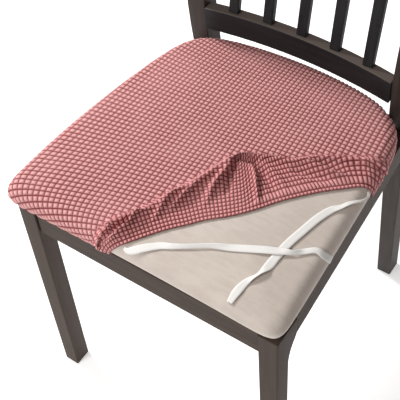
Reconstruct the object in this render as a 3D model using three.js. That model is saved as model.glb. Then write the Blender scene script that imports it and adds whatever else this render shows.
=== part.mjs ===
// A dining chair whose seat pad wears a stretch waffle-weave cover, one corner of the cover peeled back.
// Millimetres, +Z up, the front of the chair toward -Y. Everything stands on z = 0.
import * as THREE from "three";

const GAP = 0.3; // clearance between neighbouring pieces

// ---------------------------------------------------------------- driving sizes
const FRAME = {
  top: 430, // top of legs and aprons, under the pad
  apronHigh: 47,
  apronThick: 22,
  frontHalf: 215, // outer face of the front legs
  frontY: -209, // front face of the front legs
  backY: 188, // front face of the back posts at the seat
  legWide: 30,
  legFootWide: 26.5,
  legDeep: 30,
  blockDeep: 49, // the front leg's head, which takes the side apron
  postDeep: 33,
  apronSetBack: 3,
};
// The back posts, each a straight taper seen from the front and raked below and above the seat.
const BACK = {
  high: 930, footY: 243, topY: 260, bendZ: 520,
  footInner: 154.5, footOuter: 180, topInner: 160.5, topOuter: 198,
};
const RAIL = { low: 483, high: 523, deep: 19, bow: 15, setBack: -2 };
const TOP_RAIL = { low: 858, high: 930, deep: 22, bow: 16 };
const SLAT = { wide: 16, deep: 11, inset: 5, pitch: 56.5, count: 5 };

// The pad's widest outline, its four sides bowed, and how its edge rolls over.
const PAD = {
  leftFront: -236, leftBack: -183, leftBow: 15,
  rightFront: 223, rightBack: 195, rightBow: 1.5,
  front: -217, frontBow: -3,
  back: 193, backBow: 28,
  corners: { frontLeft: 22, frontRight: 20, backLeft: 9.5, backRight: 6.5 }, // the higher, the squarer
  widestZ: 446.3, // height of the widest outline
  shoulder: 0.907, // share of the outline's size where the top starts to roll over
  unit: 212, // millimetres in one such share
  rollUp: 19, // radius above the widest outline
  rollDown: 15.9, // radius below it
  tilt: THREE.MathUtils.degToRad(7), // slope of the crown where the roll starts
  crown: 9,
  cornerDip: 0.34, // the bare corner is pressed lower by this share
  postX: 157, postY: 188.5, // the back posts press it in behind this place
};
const CLOTH = { thick: 1.8, off: 1.55, hemAngle: THREE.MathUtils.degToRad(145.5) };
const TIE = { thick: 1, off: 1.1 };

// Where the main fold and the hem leave the top, as places round the edge (see edgePlace).
const PEEL = { crestRight: 0.6985, crestFront: 3.4137, hemRight: 0.63, hemFront: 3.431 };
// Crest of the peeled corner's main fold, from the front edge over the apex to the right edge:
// how high it stands over the top, and how far back its steep side reaches.
const CREST_LINE = [
  { x: -56, y: -190, high: 9, back: 6 },
  { x: -46, y: -175, high: 9.5, back: 6 },
  { x: -34, y: -162, high: 10, back: 6 },
  { x: -25, y: -146, high: 10.5, back: 6 },
  { x: -18, y: -129, high: 11, back: 6 },
  { x: -11, y: -110, high: 11, back: 6 },
  { x: -1, y: -91, high: 11.5, back: 6 },
  { x: 9, y: -66, high: 12, back: 6 },
  { x: 17, y: -42, high: 12.5, back: 6 },
  { x: 26, y: -17, high: 13, back: 6 },
  { x: 36, y: -4, high: 13, back: 6 },
  { x: 50, y: 3, high: 13, back: 6 },
  { x: 72, y: 13, high: 12, back: 6 },
  { x: 96, y: 23, high: 11, back: 6 },
  { x: 108, y: 34, high: 11, back: 6 },
  { x: 122, y: 47, high: 11, back: 6 },
  { x: 140, y: 60, high: 10.5, back: 6 },
  { x: 158, y: 70, high: 10, back: 6 },
  { x: 175, y: 81, high: 9, back: 6 },
];
// The hem across the bare pad, from the front edge to the right edge.
const HEM_LINE = [
  { x: -44, y: -221 },
  { x: -31, y: -207 },
  { x: -20, y: -197 },
  { x: -8, y: -182 },
  { x: 4, y: -167 },
  { x: 17, y: -152 },
  { x: 31, y: -138 },
  { x: 48, y: -119 },
  { x: 66, y: -103 },
  { x: 82, y: -87 },
  { x: 98, y: -66 },
  { x: 114, y: -42 },
  { x: 134, y: -17 },
  { x: 154, y: 6 },
  { x: 174, y: 26 },
  { x: 190, y: 42 },
  { x: 201, y: 51 },
  { x: 211, y: 56 },
];
// Lesser folds: the reach to either side, and a run of [x, y, height over the main fold]. A height
// below zero is a crease.
const FOLDS = [
  // the rims of the pleats on the front side of the apex, and the creases beside them
  { left: 6, right: 13,
    run: [[28, -16, 1], [27, -31, 5], [27, -48, 8], [27, -63, 8], [27, -78, 5], [31, -92, 2]] },
  { left: 5, right: 11,
    run: [[8, -64, 1], [5, -76, 4], [3, -88, 7], [-1, -101, 8], [-1, -114, 6], [2, -127, 2]] },
  { left: 5, right: 10, run: [[-7, -101, 1], [-12, -113, 4], [-14, -126, 7], [-12, -138, 6], [-9, -150, 2]] },
  { left: 4, right: 9,
    run: [[-25, -142, 1], [-30, -153, 4], [-33, -166, 6], [-34, -178, 7], [-40, -192, 5], [-47, -206, 3]] },
  { left: 6, right: 7, run: [[33, -20, -3], [36, -34, -4], [42, -51, -4], [49, -67, -2]] },
  { left: 4, right: 5,
    run: [[-37, -166, -2], [-40, -180, -5], [-46, -194, -6], [-54, -207, -6], [-60, -222, -4]] },
  // the hollow under the apex, and the leaf of cloth that falls from it to the hem
  { left: 8, right: 6, run: [[27, -17, -4], [32, -11, -8], [39, -8, -9], [47, -6, -6], [53, -4, -3]] },
  { left: 7, right: 4,
    run: [[52, -12, 2], [62, -21, 6], [70, -30, 7], [78, -40, 6], [87, -52, 4], [94, -63, 1]] },
  { left: 5, right: 7, run: [[56, -5, -2], [65, -10, -6], [75, -15, -7], [88, -22, -5], [104, -33, -2]] },
  // ripples of the side that slid back from the right
  { left: 6, right: 6, run: [[62, 3, 1], [80, -3, 3], [101, -12, 3], [114, -22, 1]] },
  { left: 6, right: 5, run: [[80, 10, 1], [94, 9, 4], [108, 8, 3], [118, 4, 1]] },
  { left: 6, right: 9,
    run: [[108, 27, 1], [120, 27, 5], [136, 30, 7], [151, 37, 7], [166, 45, 5], [180, 53, 3]] },
  { left: 8, right: 8, run: [[176, 78, 5], [200, 86, 5], [222, 92, 5]] },
];
// The two ties on the bare pad: centre line, lift over the pad, width and how far they turn over, in degrees.
const TIE_FRONT = [
  { x: -20, y: -205, lift: 0.7, wide: 8, turn: 0 },
  { x: -11, y: -206, lift: 0.9, wide: 11, turn: 0 },
  { x: 4, y: -194, lift: 0.5, wide: 11, turn: 0 },
  { x: 27, y: -178, lift: 0, wide: 9, turn: 15 },
  { x: 50, y: -166, lift: 0.5, wide: 6, turn: 35 },
  { x: 76, y: -150, lift: 0.5, wide: 6, turn: 35 },
  { x: 99, y: -138, lift: 0, wide: 11, turn: 0 },
  { x: 123, y: -126, lift: 0, wide: 12, turn: 0 },
  { x: 141, y: -117, lift: 1.4, wide: 12, turn: 0 },
  { x: 157, y: -109, lift: 2, wide: 11, turn: 0 },
  { x: 172, y: -102, lift: 1, wide: 6, turn: 35 },
  { x: 182, y: -91, lift: 0.3, wide: 9, turn: 0 },
  { x: 194, y: -81, lift: 0.5, wide: 8, turn: 15 },
  { x: 206, y: -79, lift: 0, wide: 12, turn: 0 },
  { x: 220, y: -75, lift: 0, wide: 12, turn: 0 },
];
const TIE_SIDE = [
  { x: 204, y: 48, lift: 0, wide: 4, turn: 35 },
  { x: 203, y: 34, lift: 0.5, wide: 5, turn: 35 },
  { x: 197, y: 19, lift: 0, wide: 7, turn: 20 },
  { x: 187, y: 3, lift: 0, wide: 8, turn: 15 },
  { x: 178, y: -13, lift: 0, wide: 11, turn: 0 },
  { x: 170, y: -36, lift: 0, wide: 12, turn: 0 },
  { x: 164, y: -65, lift: 0, wide: 12, turn: 0 },
  { x: 159, y: -92, lift: 0, wide: 12, turn: 0 },
  { x: 157, y: -118, lift: 0, wide: 12, turn: 0 },
  { x: 156, y: -137, lift: 0, wide: 12, turn: 0 },
  { x: 152, y: -154, lift: 0.8, wide: 5, turn: 35 },
  { x: 145, y: -169, lift: 0, wide: 9, turn: 0 },
  { x: 142, y: -186, lift: 0, wide: 12, turn: 0 },
  { x: 142, y: -204, lift: 0, wide: 8, turn: 0 },
];

const { lerp, clamp, smoothstep } = THREE.MathUtils;
const finish = (color, roughness) => new THREE.MeshStandardMaterial({ color, roughness, metalness: 0 });
const WOOD = finish(0x4a403b, 0.45);
const SUEDE = finish(0xc0b2a3, 0.9);
const WAFFLE = finish(0xcf8f8d, 0.95);
const TAPE = finish(0xf0eeea, 0.8);

// ---------------------------------------------------------------- mesh helpers
/** A closed mesh from points and triangles. */
function meshOf(name, points, triangles, material) {
  const geometry = new THREE.BufferGeometry();
  geometry.setAttribute("position", new THREE.Float32BufferAttribute(points.flat(), 3));
  geometry.setIndex(triangles.flat());
  geometry.computeVertexNormals();
  const mesh = new THREE.Mesh(geometry, material);
  mesh.name = name;
  return mesh;
}

/** Faces between two neighbouring loops of n points, whose first points are a and b. */
function band(a, b, n, closed = true) {
  const faces = [];
  for (let i = 0; i < (closed ? n : n - 1); i++) {
    const j = (i + 1) % n;
    faces.push([a + i, a + j, b + j], [a + i, b + j, b + i]);
  }
  return faces;
}

/** Faces from a centre point c to a loop of n points, whose first is a. */
const fan = (c, a, n) => Array.from({ length: n }, (_, i) => [c, a + i, a + ((i + 1) % n)]);
const flipped = (faces) => faces.map(([a, b, c]) => [a, c, b]);

/** A side profile, given as [y, z] points, extruded across x from x0 to x1. */
function sideProfile(name, outline, x0, x1) {
  const shape = new THREE.Shape(outline.map(([y, z]) => new THREE.Vector2(y, z)));
  const geometry = new THREE.ExtrudeGeometry(shape, { depth: x1 - x0, bevelEnabled: false });
  // the shape's x and y become y and z, its depth x
  geometry.applyMatrix4(new THREE.Matrix4().set(0, 0, 1, x0, 1, 0, 0, 0, 0, 1, 0, 0, 0, 0, 0, 1));
  const mesh = new THREE.Mesh(geometry, WOOD);
  mesh.name = name;
  return mesh;
}

/** A plan outline, given as [x, y] points, raised from z0 to z1. */
function planProfile(name, outline, z0, z1) {
  const shape = new THREE.Shape(outline.map(([x, y]) => new THREE.Vector2(x, y)));
  const geometry = new THREE.ExtrudeGeometry(shape, { depth: z1 - z0, bevelEnabled: false });
  geometry.translate(0, 0, z0);
  const mesh = new THREE.Mesh(geometry, WOOD);
  mesh.name = name;
  return mesh;
}

/** Moves each vertex of a mesh by change(point). */
function bend(mesh, change) {
  const at = mesh.geometry.getAttribute("position");
  const p = new THREE.Vector3();
  for (let i = 0; i < at.count; i++) {
    change(p.fromBufferAttribute(at, i));
    at.setXYZ(i, p.x, p.y, p.z);
  }
  mesh.geometry.computeVertexNormals();
  return mesh;
}

// ---------------------------------------------------------------- chair frame
/** A front leg: square, tapered on its inner side, its head deepened by a curved block. */
function frontLeg(name, side) {
  const { frontY: f, legDeep, blockDeep, top, frontHalf: h, legWide, legFootWide } = FRAME;
  const outline = [[f, 0], [f + legDeep, 0], [f + legDeep - 1, 340]];
  const curve = new THREE.QuadraticBezierCurve(
    new THREE.Vector2(f + legDeep - 1, 345), new THREE.Vector2(f + legDeep, 372),
    new THREE.Vector2(f + blockDeep - 2, 390));
  curve.getPoints(5).forEach((p) => outline.push([p.x, p.y]));
  outline.push([f + blockDeep, 393], [f + blockDeep, top], [f, top]);
  const leg = sideProfile(name, outline, side > 0 ? h - legWide : -h, side > 0 ? h : legWide - h);
  return bend(leg, (p) => {
    if (Math.abs(p.x) < h - 1) p.x += side * (legWide - legFootWide) * (1 - p.z / top);
  });
}

/** Where the front face of a back post lies at height z: raked below the seat, leaning back above. */
function postY(z) {
  const { footY, topY, bendZ, high } = BACK;
  if (z < bendZ) return lerp(footY, FRAME.backY, 1 - (1 - z / bendZ) ** 1.25);
  return lerp(FRAME.backY, topY, ((z - bendZ) / (high - bendZ)) ** 1.25);
}
const postDeep = (z) => (z < BACK.bendZ ? lerp(31, FRAME.postDeep, z / BACK.bendZ)
  : lerp(FRAME.postDeep, 24, (z - BACK.bendZ) / (BACK.high - BACK.bendZ)));

const postInner = (z) => lerp(BACK.footInner, BACK.topInner, z / BACK.high);
const postOuter = (z) => lerp(BACK.footOuter, BACK.topOuter, z / BACK.high);

/** A back leg and post in one length. */
function backPost(name, side) {
  const heights = [0, 90, 180, 270, 350, 430, 475, 520, 570, 630, 700, 780, 860, BACK.high];
  const outline = heights.map((z) => [postY(z), z]).reverse();
  heights.forEach((z) => outline.push([postY(z) + postDeep(z), z]));
  const post = sideProfile(name, outline, -1, 1);
  return bend(post, (p) => {
    p.x = side * (p.x * side > 0 ? postOuter(p.z) : postInner(p.z));
  });
}

/** The four aprons between the legs. */
function aprons() {
  const { top, apronHigh, apronThick: t, apronSetBack: s, frontY, frontHalf, legWide, blockDeep } = FRAME;
  const z0 = top - apronHigh;
  const half = frontHalf - legWide - GAP;
  const box = (y) => [[-half, y], [half, y], [half, y + t], [-half, y + t]];
  const front = planProfile("apron_front", box(frontY + s), z0, top);
  const backHalf = postInner(z0) - GAP;
  const backY = FRAME.backY + 7;
  const back = planProfile("apron_back",
    [[-backHalf, backY], [backHalf, backY], [backHalf, backY + t], [-backHalf, backY + t]], z0, top);
  const y0 = frontY + blockDeep + GAP, y1 = postY(top) - GAP - 6;
  const side = (name, m) => {
    const x0 = m * (frontHalf - s), x1 = m * (postOuter(top) + 2);
    const line = [[x0, y0], [x1, y1], [x1 - m * t, y1], [x0 - m * t, y0]];
    return planProfile(name, m > 0 ? line : line.reverse(), z0, top);
  };
  return [front, back, side("apron_left", -1), side("apron_right", 1)];
}

/** Points of a bowed rail's plan, its front face at y and at y + bow in the middle. */
function bowedPlan(half, y, bow, deep) {
  const xs = Array.from({ length: 13 }, (_, i) => lerp(-half, half, i / 12));
  const at = (x) => y + bow * (1 - (x / half) ** 2);
  return [...xs.map((x) => [x, at(x)]), ...xs.reverse().map((x) => [x, at(x) + deep])];
}

/** The bowed lower rail, the crest rail and the slats between them. */
function backrest() {
  const half = postInner(RAIL.low) - GAP;
  const lower = planProfile("rail_lower",
    bowedPlan(half, FRAME.backY + RAIL.setBack, RAIL.bow, RAIL.deep), RAIL.low, RAIL.high);
  const crestY = postY(TOP_RAIL.low);
  const crestPlan = bowedPlan(postInner(TOP_RAIL.low) - GAP, crestY + 1, TOP_RAIL.bow, TOP_RAIL.deep);
  const crest = planProfile("rail_crest", crestPlan, TOP_RAIL.low, TOP_RAIL.high);
  bend(crest, (p) => { p.y += postY(p.z) - crestY; });
  const slats = Array.from({ length: SLAT.count }, (_, i) => {
    const x = (i - (SLAT.count - 1) / 2) * SLAT.pitch;
    const bow = 1 - (x / half) ** 2;
    const y0 = FRAME.backY + RAIL.setBack + RAIL.bow * bow + SLAT.inset;
    const y1 = crestY + 1 + TOP_RAIL.bow * bow + 6;
    const z0 = RAIL.high + GAP, z1 = TOP_RAIL.low - GAP;
    const outline = [[y0, z0], [y0 + SLAT.deep, z0], [y1 + SLAT.deep, z1], [y1, z1]];
    const slat = sideProfile(`slat_${i + 1}`, outline, x - SLAT.wide / 2, x + SLAT.wide / 2);
    return bend(slat, (p) => { p.x += (p.x - x) * 0.25 * ((p.z - z0) / (z1 - z0)); });
  });
  return [lower, crest, ...slats];
}

// ---------------------------------------------------------------- the pad's surface
// A place on the cloth is given on the pad's top as if the rolled edge were laid out flat: (a, b).
// (s, t) is the same place on a square from -1 to 1 whose sides are the pad's four bowed sides.

const sideX = (t) => [
  lerp(PAD.leftFront, PAD.leftBack, (t + 1) / 2) - PAD.leftBow * (1 - t * t),
  lerp(PAD.rightFront, PAD.rightBack, (t + 1) / 2) + PAD.rightBow * (1 - t * t)];
const sideY = (s) => [PAD.front - PAD.frontBow * (1 - s * s), PAD.back + PAD.backBow * (1 - s * s)];

/** Laid-out millimetres from a place on the square. */
function fromSquare(s, t) {
  const [x0, x1] = sideX(t), [y0, y1] = sideY(s);
  return [lerp(x0, x1, (s + 1) / 2), lerp(y0, y1, (t + 1) / 2)];
}

/** The place on the square of laid-out millimetres. */
function toSquare(a, b) {
  let s = a / 220, t = b / 210;
  for (let i = 0; i < 12; i++) {
    const [x0, x1] = sideX(t), [y0, y1] = sideY(s);
    s = (2 * a - x0 - x1) / (x1 - x0);
    t = (2 * b - y0 - y1) / (y1 - y0);
  }
  return [s, t];
}

/** How far out a place is: 1 on the pad's widest outline, whose corners each have their own squareness. */
function reach(s, t) {
  const m = Math.max(Math.abs(s), Math.abs(t), 1e-6);
  const u = s / m, v = t / m;
  const front = ((1 - v) / 2) ** 2, back = ((1 + v) / 2) ** 2;
  const left = ((1 - u) / 2) ** 2, right = ((1 + u) / 2) ** 2;
  const { frontLeft, frontRight, backLeft, backRight } = PAD.corners;
  const n = (front * (frontLeft * left + frontRight * right) + back * (backLeft * left + backRight * right))
    / ((front + back) * (left + right));
  return m * (Math.abs(u) ** n + Math.abs(v) ** n) ** (1 / n);
}

/** Cross-section of the rolled edge at a laid-out share r: its share in plan and its height. */
function rolled(r) {
  const { shoulder, unit, rollUp, rollDown, tilt, widestZ } = PAD;
  const topZ = widestZ + rollUp * Math.cos(tilt);
  if (r <= shoulder) return [r, topZ + PAD.crown * (1 - (r / shoulder) ** 2.6)];
  const arc = (r - shoulder) * unit;
  const angle = tilt + arc / rollUp;
  if (angle <= Math.PI / 2) {
    const share = shoulder + (rollUp * (Math.sin(angle) - Math.sin(tilt))) / unit;
    return [share, widestZ + rollUp * Math.cos(angle)];
  }
  const widest = shoulder + (rollUp * (1 - Math.sin(tilt))) / unit;
  const under = Math.min((arc - rollUp * (Math.PI / 2 - tilt)) / rollDown, Math.PI / 2);
  return [widest - (rollDown * (1 - Math.cos(under))) / unit, widestZ - rollDown * Math.sin(under)];
}
/** The laid-out share at which the rolled edge has turned by an angle past 90 degrees. */
const shareAt = (angle) => PAD.shoulder
  + (PAD.rollUp * (Math.PI / 2 - PAD.tilt) + PAD.rollDown * (angle - Math.PI / 2)) / PAD.unit;

/** The pad's surface under a laid-out place. */
function onPad(a, b) {
  const [s, t] = toSquare(a, b);
  const r = reach(s, t);
  const [share, z] = rolled(r);
  const k = r > 0 ? share / r : 1;
  const [x, y] = fromSquare(s * k, t * k);
  const atPost = smoothstep(Math.abs(x), PAD.postX - 12, PAD.postX);
  const pressed = atPost * 2 * Math.log1p(Math.exp((y - PAD.postY) / 2));
  const corner = Math.exp(-(((a - 222) ** 2 + (b + 210) ** 2) / 52 ** 2));
  const high = z > PAD.widestZ ? 1 - PAD.cornerDip * corner : 1;
  return new THREE.Vector3(x, y - pressed, PAD.widestZ + (z - PAD.widestZ) * high);
}

/** The same, lifted off the surface by a height along its normal. */
function offPad(a, b, lift) {
  const h = 0.5;
  const p = onPad(a, b);
  const du = onPad(a + h, b).sub(onPad(a - h, b));
  const dv = onPad(a, b + h).sub(onPad(a, b - h));
  return p.addScaledVector(du.cross(dv).normalize(), lift);
}

/** A place on the edge of the square, q running 0..4 from the bare corner round by the right side. */
function edgePlace(q, r) {
  const side = Math.floor(((q % 4) + 4) % 4), f = q - Math.floor(q);
  const e = 2 * f - 1;
  const along = 0.35 * e + 0.65 * Math.sin((Math.PI / 2) * e);
  const [s, t] = [[1, along], [-along, 1], [-1, -along], [along, -1]][side];
  const k = r / reach(s, t);
  return [s * k, t * k];
}

// ---------------------------------------------------------------- the pad
function seatPad() {
  const n = 80;
  const under = [100, 115, 130, 145, 160, 180].map((d) => shareAt(THREE.MathUtils.degToRad(d)));
  const over = [0.3, 0.52, 0.68, 0.78, 0.85, PAD.shoulder];
  const round = [0.25, 0.5, 0.75, 1].map((f) => lerp(PAD.shoulder, shareAt(Math.PI / 2), f));
  const shares = [...over, ...round, ...under];
  const points = [onPad(...fromSquare(0, 0)).toArray()];
  const faces = [];
  shares.forEach((r, ring) => {
    for (let i = 0; i < n; i++) {
      points.push(onPad(...fromSquare(...edgePlace((4 * i) / n, r))).toArray());
    }
    const first = 1 + ring * n;
    faces.push(...(ring ? flipped(band(first - n, first, n)) : fan(0, first, n)));
  });
  const [cx, cy] = fromSquare(0, 0);
  points.push([cx, cy, PAD.widestZ - PAD.rollDown]);
  faces.push(...flipped(fan(points.length - 1, 1 + (shares.length - 1) * n, n)));
  return meshOf("seat_pad", points, faces, SUEDE);
}

// ---------------------------------------------------------------- the folds
/** A smooth line through a table's points, sampled n times, with the other columns carried along. */
function smoothLine(table, n) {
  const keys = Object.keys(table[0]);
  const at = (i, key) => table[clamp(i, 0, table.length - 1)][key];
  return Array.from({ length: n + 1 }, (_, k) => {
    const f = (k / n) * (table.length - 1), i = Math.min(Math.floor(f), table.length - 2), w = f - i;
    const spline = (key) => {
      const [p, q, r, s] = [at(i - 1, key), at(i, key), at(i + 1, key), at(i + 2, key)];
      const square = 2 * p - 5 * q + 4 * r - s, cube = 3 * q - p - 3 * r + s;
      return 0.5 * (2 * q + (r - p) * w + square * w * w + cube * w ** 3);
    };
    return Object.fromEntries(keys.map((key) => [key, spline(key)]));
  });
}

/** Nearest place of a sampled line to (a, b): its distance, its side (+ on the right hand) and its index. */
function nearest(line, a, b) {
  let best = { far: Infinity };
  for (let i = 0; i + 1 < line.length; i++) {
    const p = line[i], q = line[i + 1];
    const dx = q.x - p.x, dy = q.y - p.y;
    const w = clamp(((a - p.x) * dx + (b - p.y) * dy) / (dx * dx + dy * dy), 0, 1);
    const ex = a - p.x - w * dx, ey = b - p.y - w * dy;
    const far = Math.hypot(ex, ey);
    if (far < best.far) best = { far, side: Math.sign(dy * ex - dx * ey), at: i + w };
  }
  return best;
}

const HEM_SHARE = shareAt(CLOTH.hemAngle);
const onEdge = (q, r) => {
  const [x, y] = fromSquare(...edgePlace(q, r));
  return { x, y };
};
const CREST = [
  { ...onEdge(PEEL.crestFront, PAD.shoulder), high: 7, back: 6 },
  ...CREST_LINE,
  { ...onEdge(PEEL.crestRight, PAD.shoulder), high: 8, back: 6 },
];
const HEM = [onEdge(PEEL.hemFront, HEM_SHARE), ...HEM_LINE, onEdge(PEEL.hemRight, HEM_SHARE)];
// beyond the top the crest runs on down both rolled edges to the hem
const CREST_SAMPLES = smoothLine([
  { ...onEdge(PEEL.crestFront, HEM_SHARE + 0.02), high: 3, back: 6 },
  { ...onEdge(PEEL.crestFront, 1), high: 5, back: 6 },
  ...CREST,
  { ...onEdge(PEEL.crestRight + 0.01, 1), high: 6, back: 6 },
  { ...onEdge(PEEL.crestRight + 0.02, HEM_SHARE + 0.02), high: 3, back: 6 },
], 80);
const HEM_SAMPLES = smoothLine(HEM, 64);
const FOLD_LINES = FOLDS.map((fold) => smoothLine(fold.run.map(([x, y, high]) => ({ x, y, high })), 24));

/** Height of the cloth over its flat lie at a laid-out place. It is drawn tight again under the edge. */
function foldHeight(a, b) {
  const tuck = 1 - smoothstep(reach(...toSquare(a, b)), shareAt(1.6), HEM_SHARE);
  return tuck > 0 ? tuck * looseHeight(a, b) : 0;
}

/** The same without the tuck. */
function looseHeight(a, b) {
  const crest = nearest(CREST_SAMPLES, a, b);
  if (crest.at < 0.01 || crest.at > CREST_SAMPLES.length - 1.01) return 0;
  const c = CREST_SAMPLES[Math.min(Math.round(crest.at), CREST_SAMPLES.length - 1)];
  if (crest.side < 0) {
    // behind the crest the cloth drops steeply to the flat top
    return crest.far > c.back ? 0 : c.high * (1 - smoothstep(crest.far, -0.25 * c.back, c.back)) / 0.896;
  }
  const hem = nearest(HEM_SAMPLES, a, b);
  const w = crest.far / (crest.far + hem.far + 1e-6);
  let high = c.high * (0.62 * (1 - w) ** 1.5 + 0.38 * Math.exp(-((crest.far / 5) ** 1.5)));
  const fade = smoothstep(hem.far, 0, 18);
  FOLDS.forEach((fold, i) => {
    const near = nearest(FOLD_LINES[i], a, b);
    const over = FOLD_LINES[i][Math.min(Math.round(near.at), FOLD_LINES[i].length - 1)].high;
    const far = over > 0 ? Math.hypot(near.far, 1) - 1 : near.far;
    const part = 1 - Math.min(far / (near.side > 0 ? fold.right : fold.left), 1);
    // a rim comes to an edge, a crease has a round floor
    high += over * fade * (over > 0 ? part ** 1.8 : part * part * (3 - 2 * part));
  });
  return 0.3 * Math.log1p(Math.exp(high / 0.3));
}

// ---------------------------------------------------------------- the cover
/** Loops of laid-out places over the cover, from its middle to its hem, each of n points. */
function coverLoops() {
  const outside = 78, peel = 60;
  const crest = smoothLine(CREST, peel - 1).map(({ x, y }) => [x, y]);
  const hem = smoothLine(HEM, peel - 1).map(({ x, y }) => [x, y]);
  const crestLoop = [], hemLoop = [];
  for (let i = 1; i < outside; i++) {
    const f = i / outside;
    crestLoop.push(fromSquare(...edgePlace(lerp(PEEL.crestRight, PEEL.crestFront, f), PAD.shoulder)));
    hemLoop.push(fromSquare(...edgePlace(lerp(PEEL.hemRight, PEEL.hemFront, f), HEM_SHARE)));
  }
  crestLoop.push(...crest);
  hemLoop.push(...hem);
  const n = crestLoop.length;
  const inward = crestLoop.map((_, i) => {
    const [x0, y0] = crestLoop[(i + n - 1) % n], [x1, y1] = crestLoop[(i + 1) % n];
    const long = Math.hypot(x1 - x0, y1 - y0);
    return [-(y1 - y0) / long, (x1 - x0) / long];
  });
  const shifted = (d) => crestLoop.map(([x, y], i) => [x + inward[i][0] * d, y + inward[i][1] * d]);
  const foot = shifted(6.5);
  const middle = [-50, 105];
  const mix = (p, q, f) => p.map(([x, y], i) => [lerp(x, q[i][0], f), lerp(y, q[i][1], f)]);
  const centre = foot.map(() => middle);
  const loops = [0.4, 0.7, 0.9, 1].map((f) => mix(centre, foot, f));
  loops.push(shifted(2.6), crestLoop);
  const toHem = [0.09, 0.19, 0.3, 0.41, 0.52, 0.63, 0.74, 0.85, 0.93, 1];
  toHem.forEach((f) => loops.push(mix(crestLoop, hemLoop, f)));
  return { middle, loops, n };
}

/** The cover: one sheet over the pad, rolled under its edge, its bare corner's side thrown into folds. */
function seatCover() {
  const { middle, loops, n } = coverLoops();
  const places = [middle, ...loops.flat()];
  const outer = [], inner = [];
  places.forEach(([a, b]) => {
    const high = foldHeight(a, b);
    const slope = Math.hypot(foldHeight(a + 0.5, b) - foldHeight(a - 0.5, b),
      foldHeight(a, b + 0.5) - foldHeight(a, b - 0.5));
    const thick = CLOTH.thick * Math.min(Math.hypot(1, slope), 2);
    const top = CLOTH.off + CLOTH.thick + high;
    outer.push(offPad(a, b, top).toArray());
    inner.push(offPad(a, b, Math.max(CLOTH.off, top - thick)).toArray());
  });
  const faces = fan(0, 1, n);
  loops.slice(1).forEach((_, i) => faces.push(...flipped(band(1 + i * n, 1 + (i + 1) * n, n))));
  const below = flipped(faces).map((face) => face.map((i) => i + outer.length));
  const last = 1 + (loops.length - 1) * n;
  const rim = flipped(band(last, last + outer.length, n));
  return meshOf("seat_cover", [...outer, ...inner], [...faces, ...below, ...rim], WAFFLE);
}

// ---------------------------------------------------------------- the ties
/** A flat tape that lies along its table of places on the pad. */
function tie(name, table) {
  const steps = 34;
  const line = smoothLine(table, steps);
  const points = [], faces = [];
  line.forEach((p, i) => {
    const q = line[Math.min(i + 1, steps)], o = line[Math.max(i - 1, 0)];
    const long = Math.hypot(q.x - o.x, q.y - o.y);
    const across = [-(q.y - o.y) / long, (q.x - o.x) / long];
    const rise = Math.sin(THREE.MathUtils.degToRad(p.turn)) * p.wide * 0.5;
    [[-1, 0], [1, 0], [1, 1], [-1, 1]].forEach(([m, up]) => {
      const a = p.x + across[0] * m * p.wide / 2, b = p.y + across[1] * m * p.wide / 2;
      const lift = TIE.off + p.lift + (m > 0 ? 2 * rise : 0) + up * TIE.thick;
      points.push(offPad(a, b, lift).toArray());
    });
    if (i) faces.push(...band(4 * (i - 1), 4 * i, 4));
  });
  const e = 4 * steps;
  faces.push([0, 2, 1], [0, 3, 2], [e, e + 1, e + 2], [e, e + 2, e + 3]);
  return meshOf(name, points, faces, TAPE);
}

// ---------------------------------------------------------------- the whole
const chair = new THREE.Group();
chair.add(
  frontLeg("leg_front_left", -1), frontLeg("leg_front_right", 1),
  backPost("post_back_left", -1), backPost("post_back_right", 1),
  ...aprons(), ...backrest(),
  seatPad(), seatCover(),
  tie("tie_front", TIE_FRONT), tie("tie_side", TIE_SIDE),
);
// the frame's origin is on the floor under the middle of the whole
const bounds = new THREE.Box3().setFromObject(chair);
chair.position.set(-(bounds.min.x + bounds.max.x) / 2, -(bounds.min.y + bounds.max.y) / 2, -bounds.min.z);

export default chair;
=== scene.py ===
"""A dining chair whose padded seat wears a stretch waffle cover, peeled back from one front corner.

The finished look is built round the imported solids: the knitted cover with its cells and folds, the bare
suede pad under it, the two loose ties, and the lacquered frame with its edges eased.
Shape classes work in millimetres, in the chair's own plan; every Blender object is in metres.
"""
import sys
import logging
import math
from dataclasses import dataclass, field
from enum import Enum

import bmesh
import bpy
import numpy as np
from mathutils import Matrix, Vector
from mathutils.geometry import delaunay_2d_cdt


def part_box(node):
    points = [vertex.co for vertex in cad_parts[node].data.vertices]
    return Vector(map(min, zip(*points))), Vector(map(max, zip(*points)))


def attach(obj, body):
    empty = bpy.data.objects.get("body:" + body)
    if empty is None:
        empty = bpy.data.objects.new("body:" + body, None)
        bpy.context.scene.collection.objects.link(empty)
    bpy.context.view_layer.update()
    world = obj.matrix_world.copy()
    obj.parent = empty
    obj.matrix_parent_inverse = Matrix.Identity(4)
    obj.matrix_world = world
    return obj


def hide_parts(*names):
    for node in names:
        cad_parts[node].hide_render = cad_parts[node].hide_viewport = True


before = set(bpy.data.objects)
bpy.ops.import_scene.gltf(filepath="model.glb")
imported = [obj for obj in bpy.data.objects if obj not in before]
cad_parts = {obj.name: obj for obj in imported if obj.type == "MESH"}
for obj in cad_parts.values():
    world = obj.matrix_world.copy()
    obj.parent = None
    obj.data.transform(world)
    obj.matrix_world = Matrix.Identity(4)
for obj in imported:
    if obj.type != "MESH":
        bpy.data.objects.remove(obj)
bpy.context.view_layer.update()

MM = 0.001
# how far left of and in front of the plan's own middle the front left leg's corner stands
LEG_LEFT = 215
LEG_FRONT = 209
LOG = logging.getLogger("chair")
Values = np.ndarray


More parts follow.
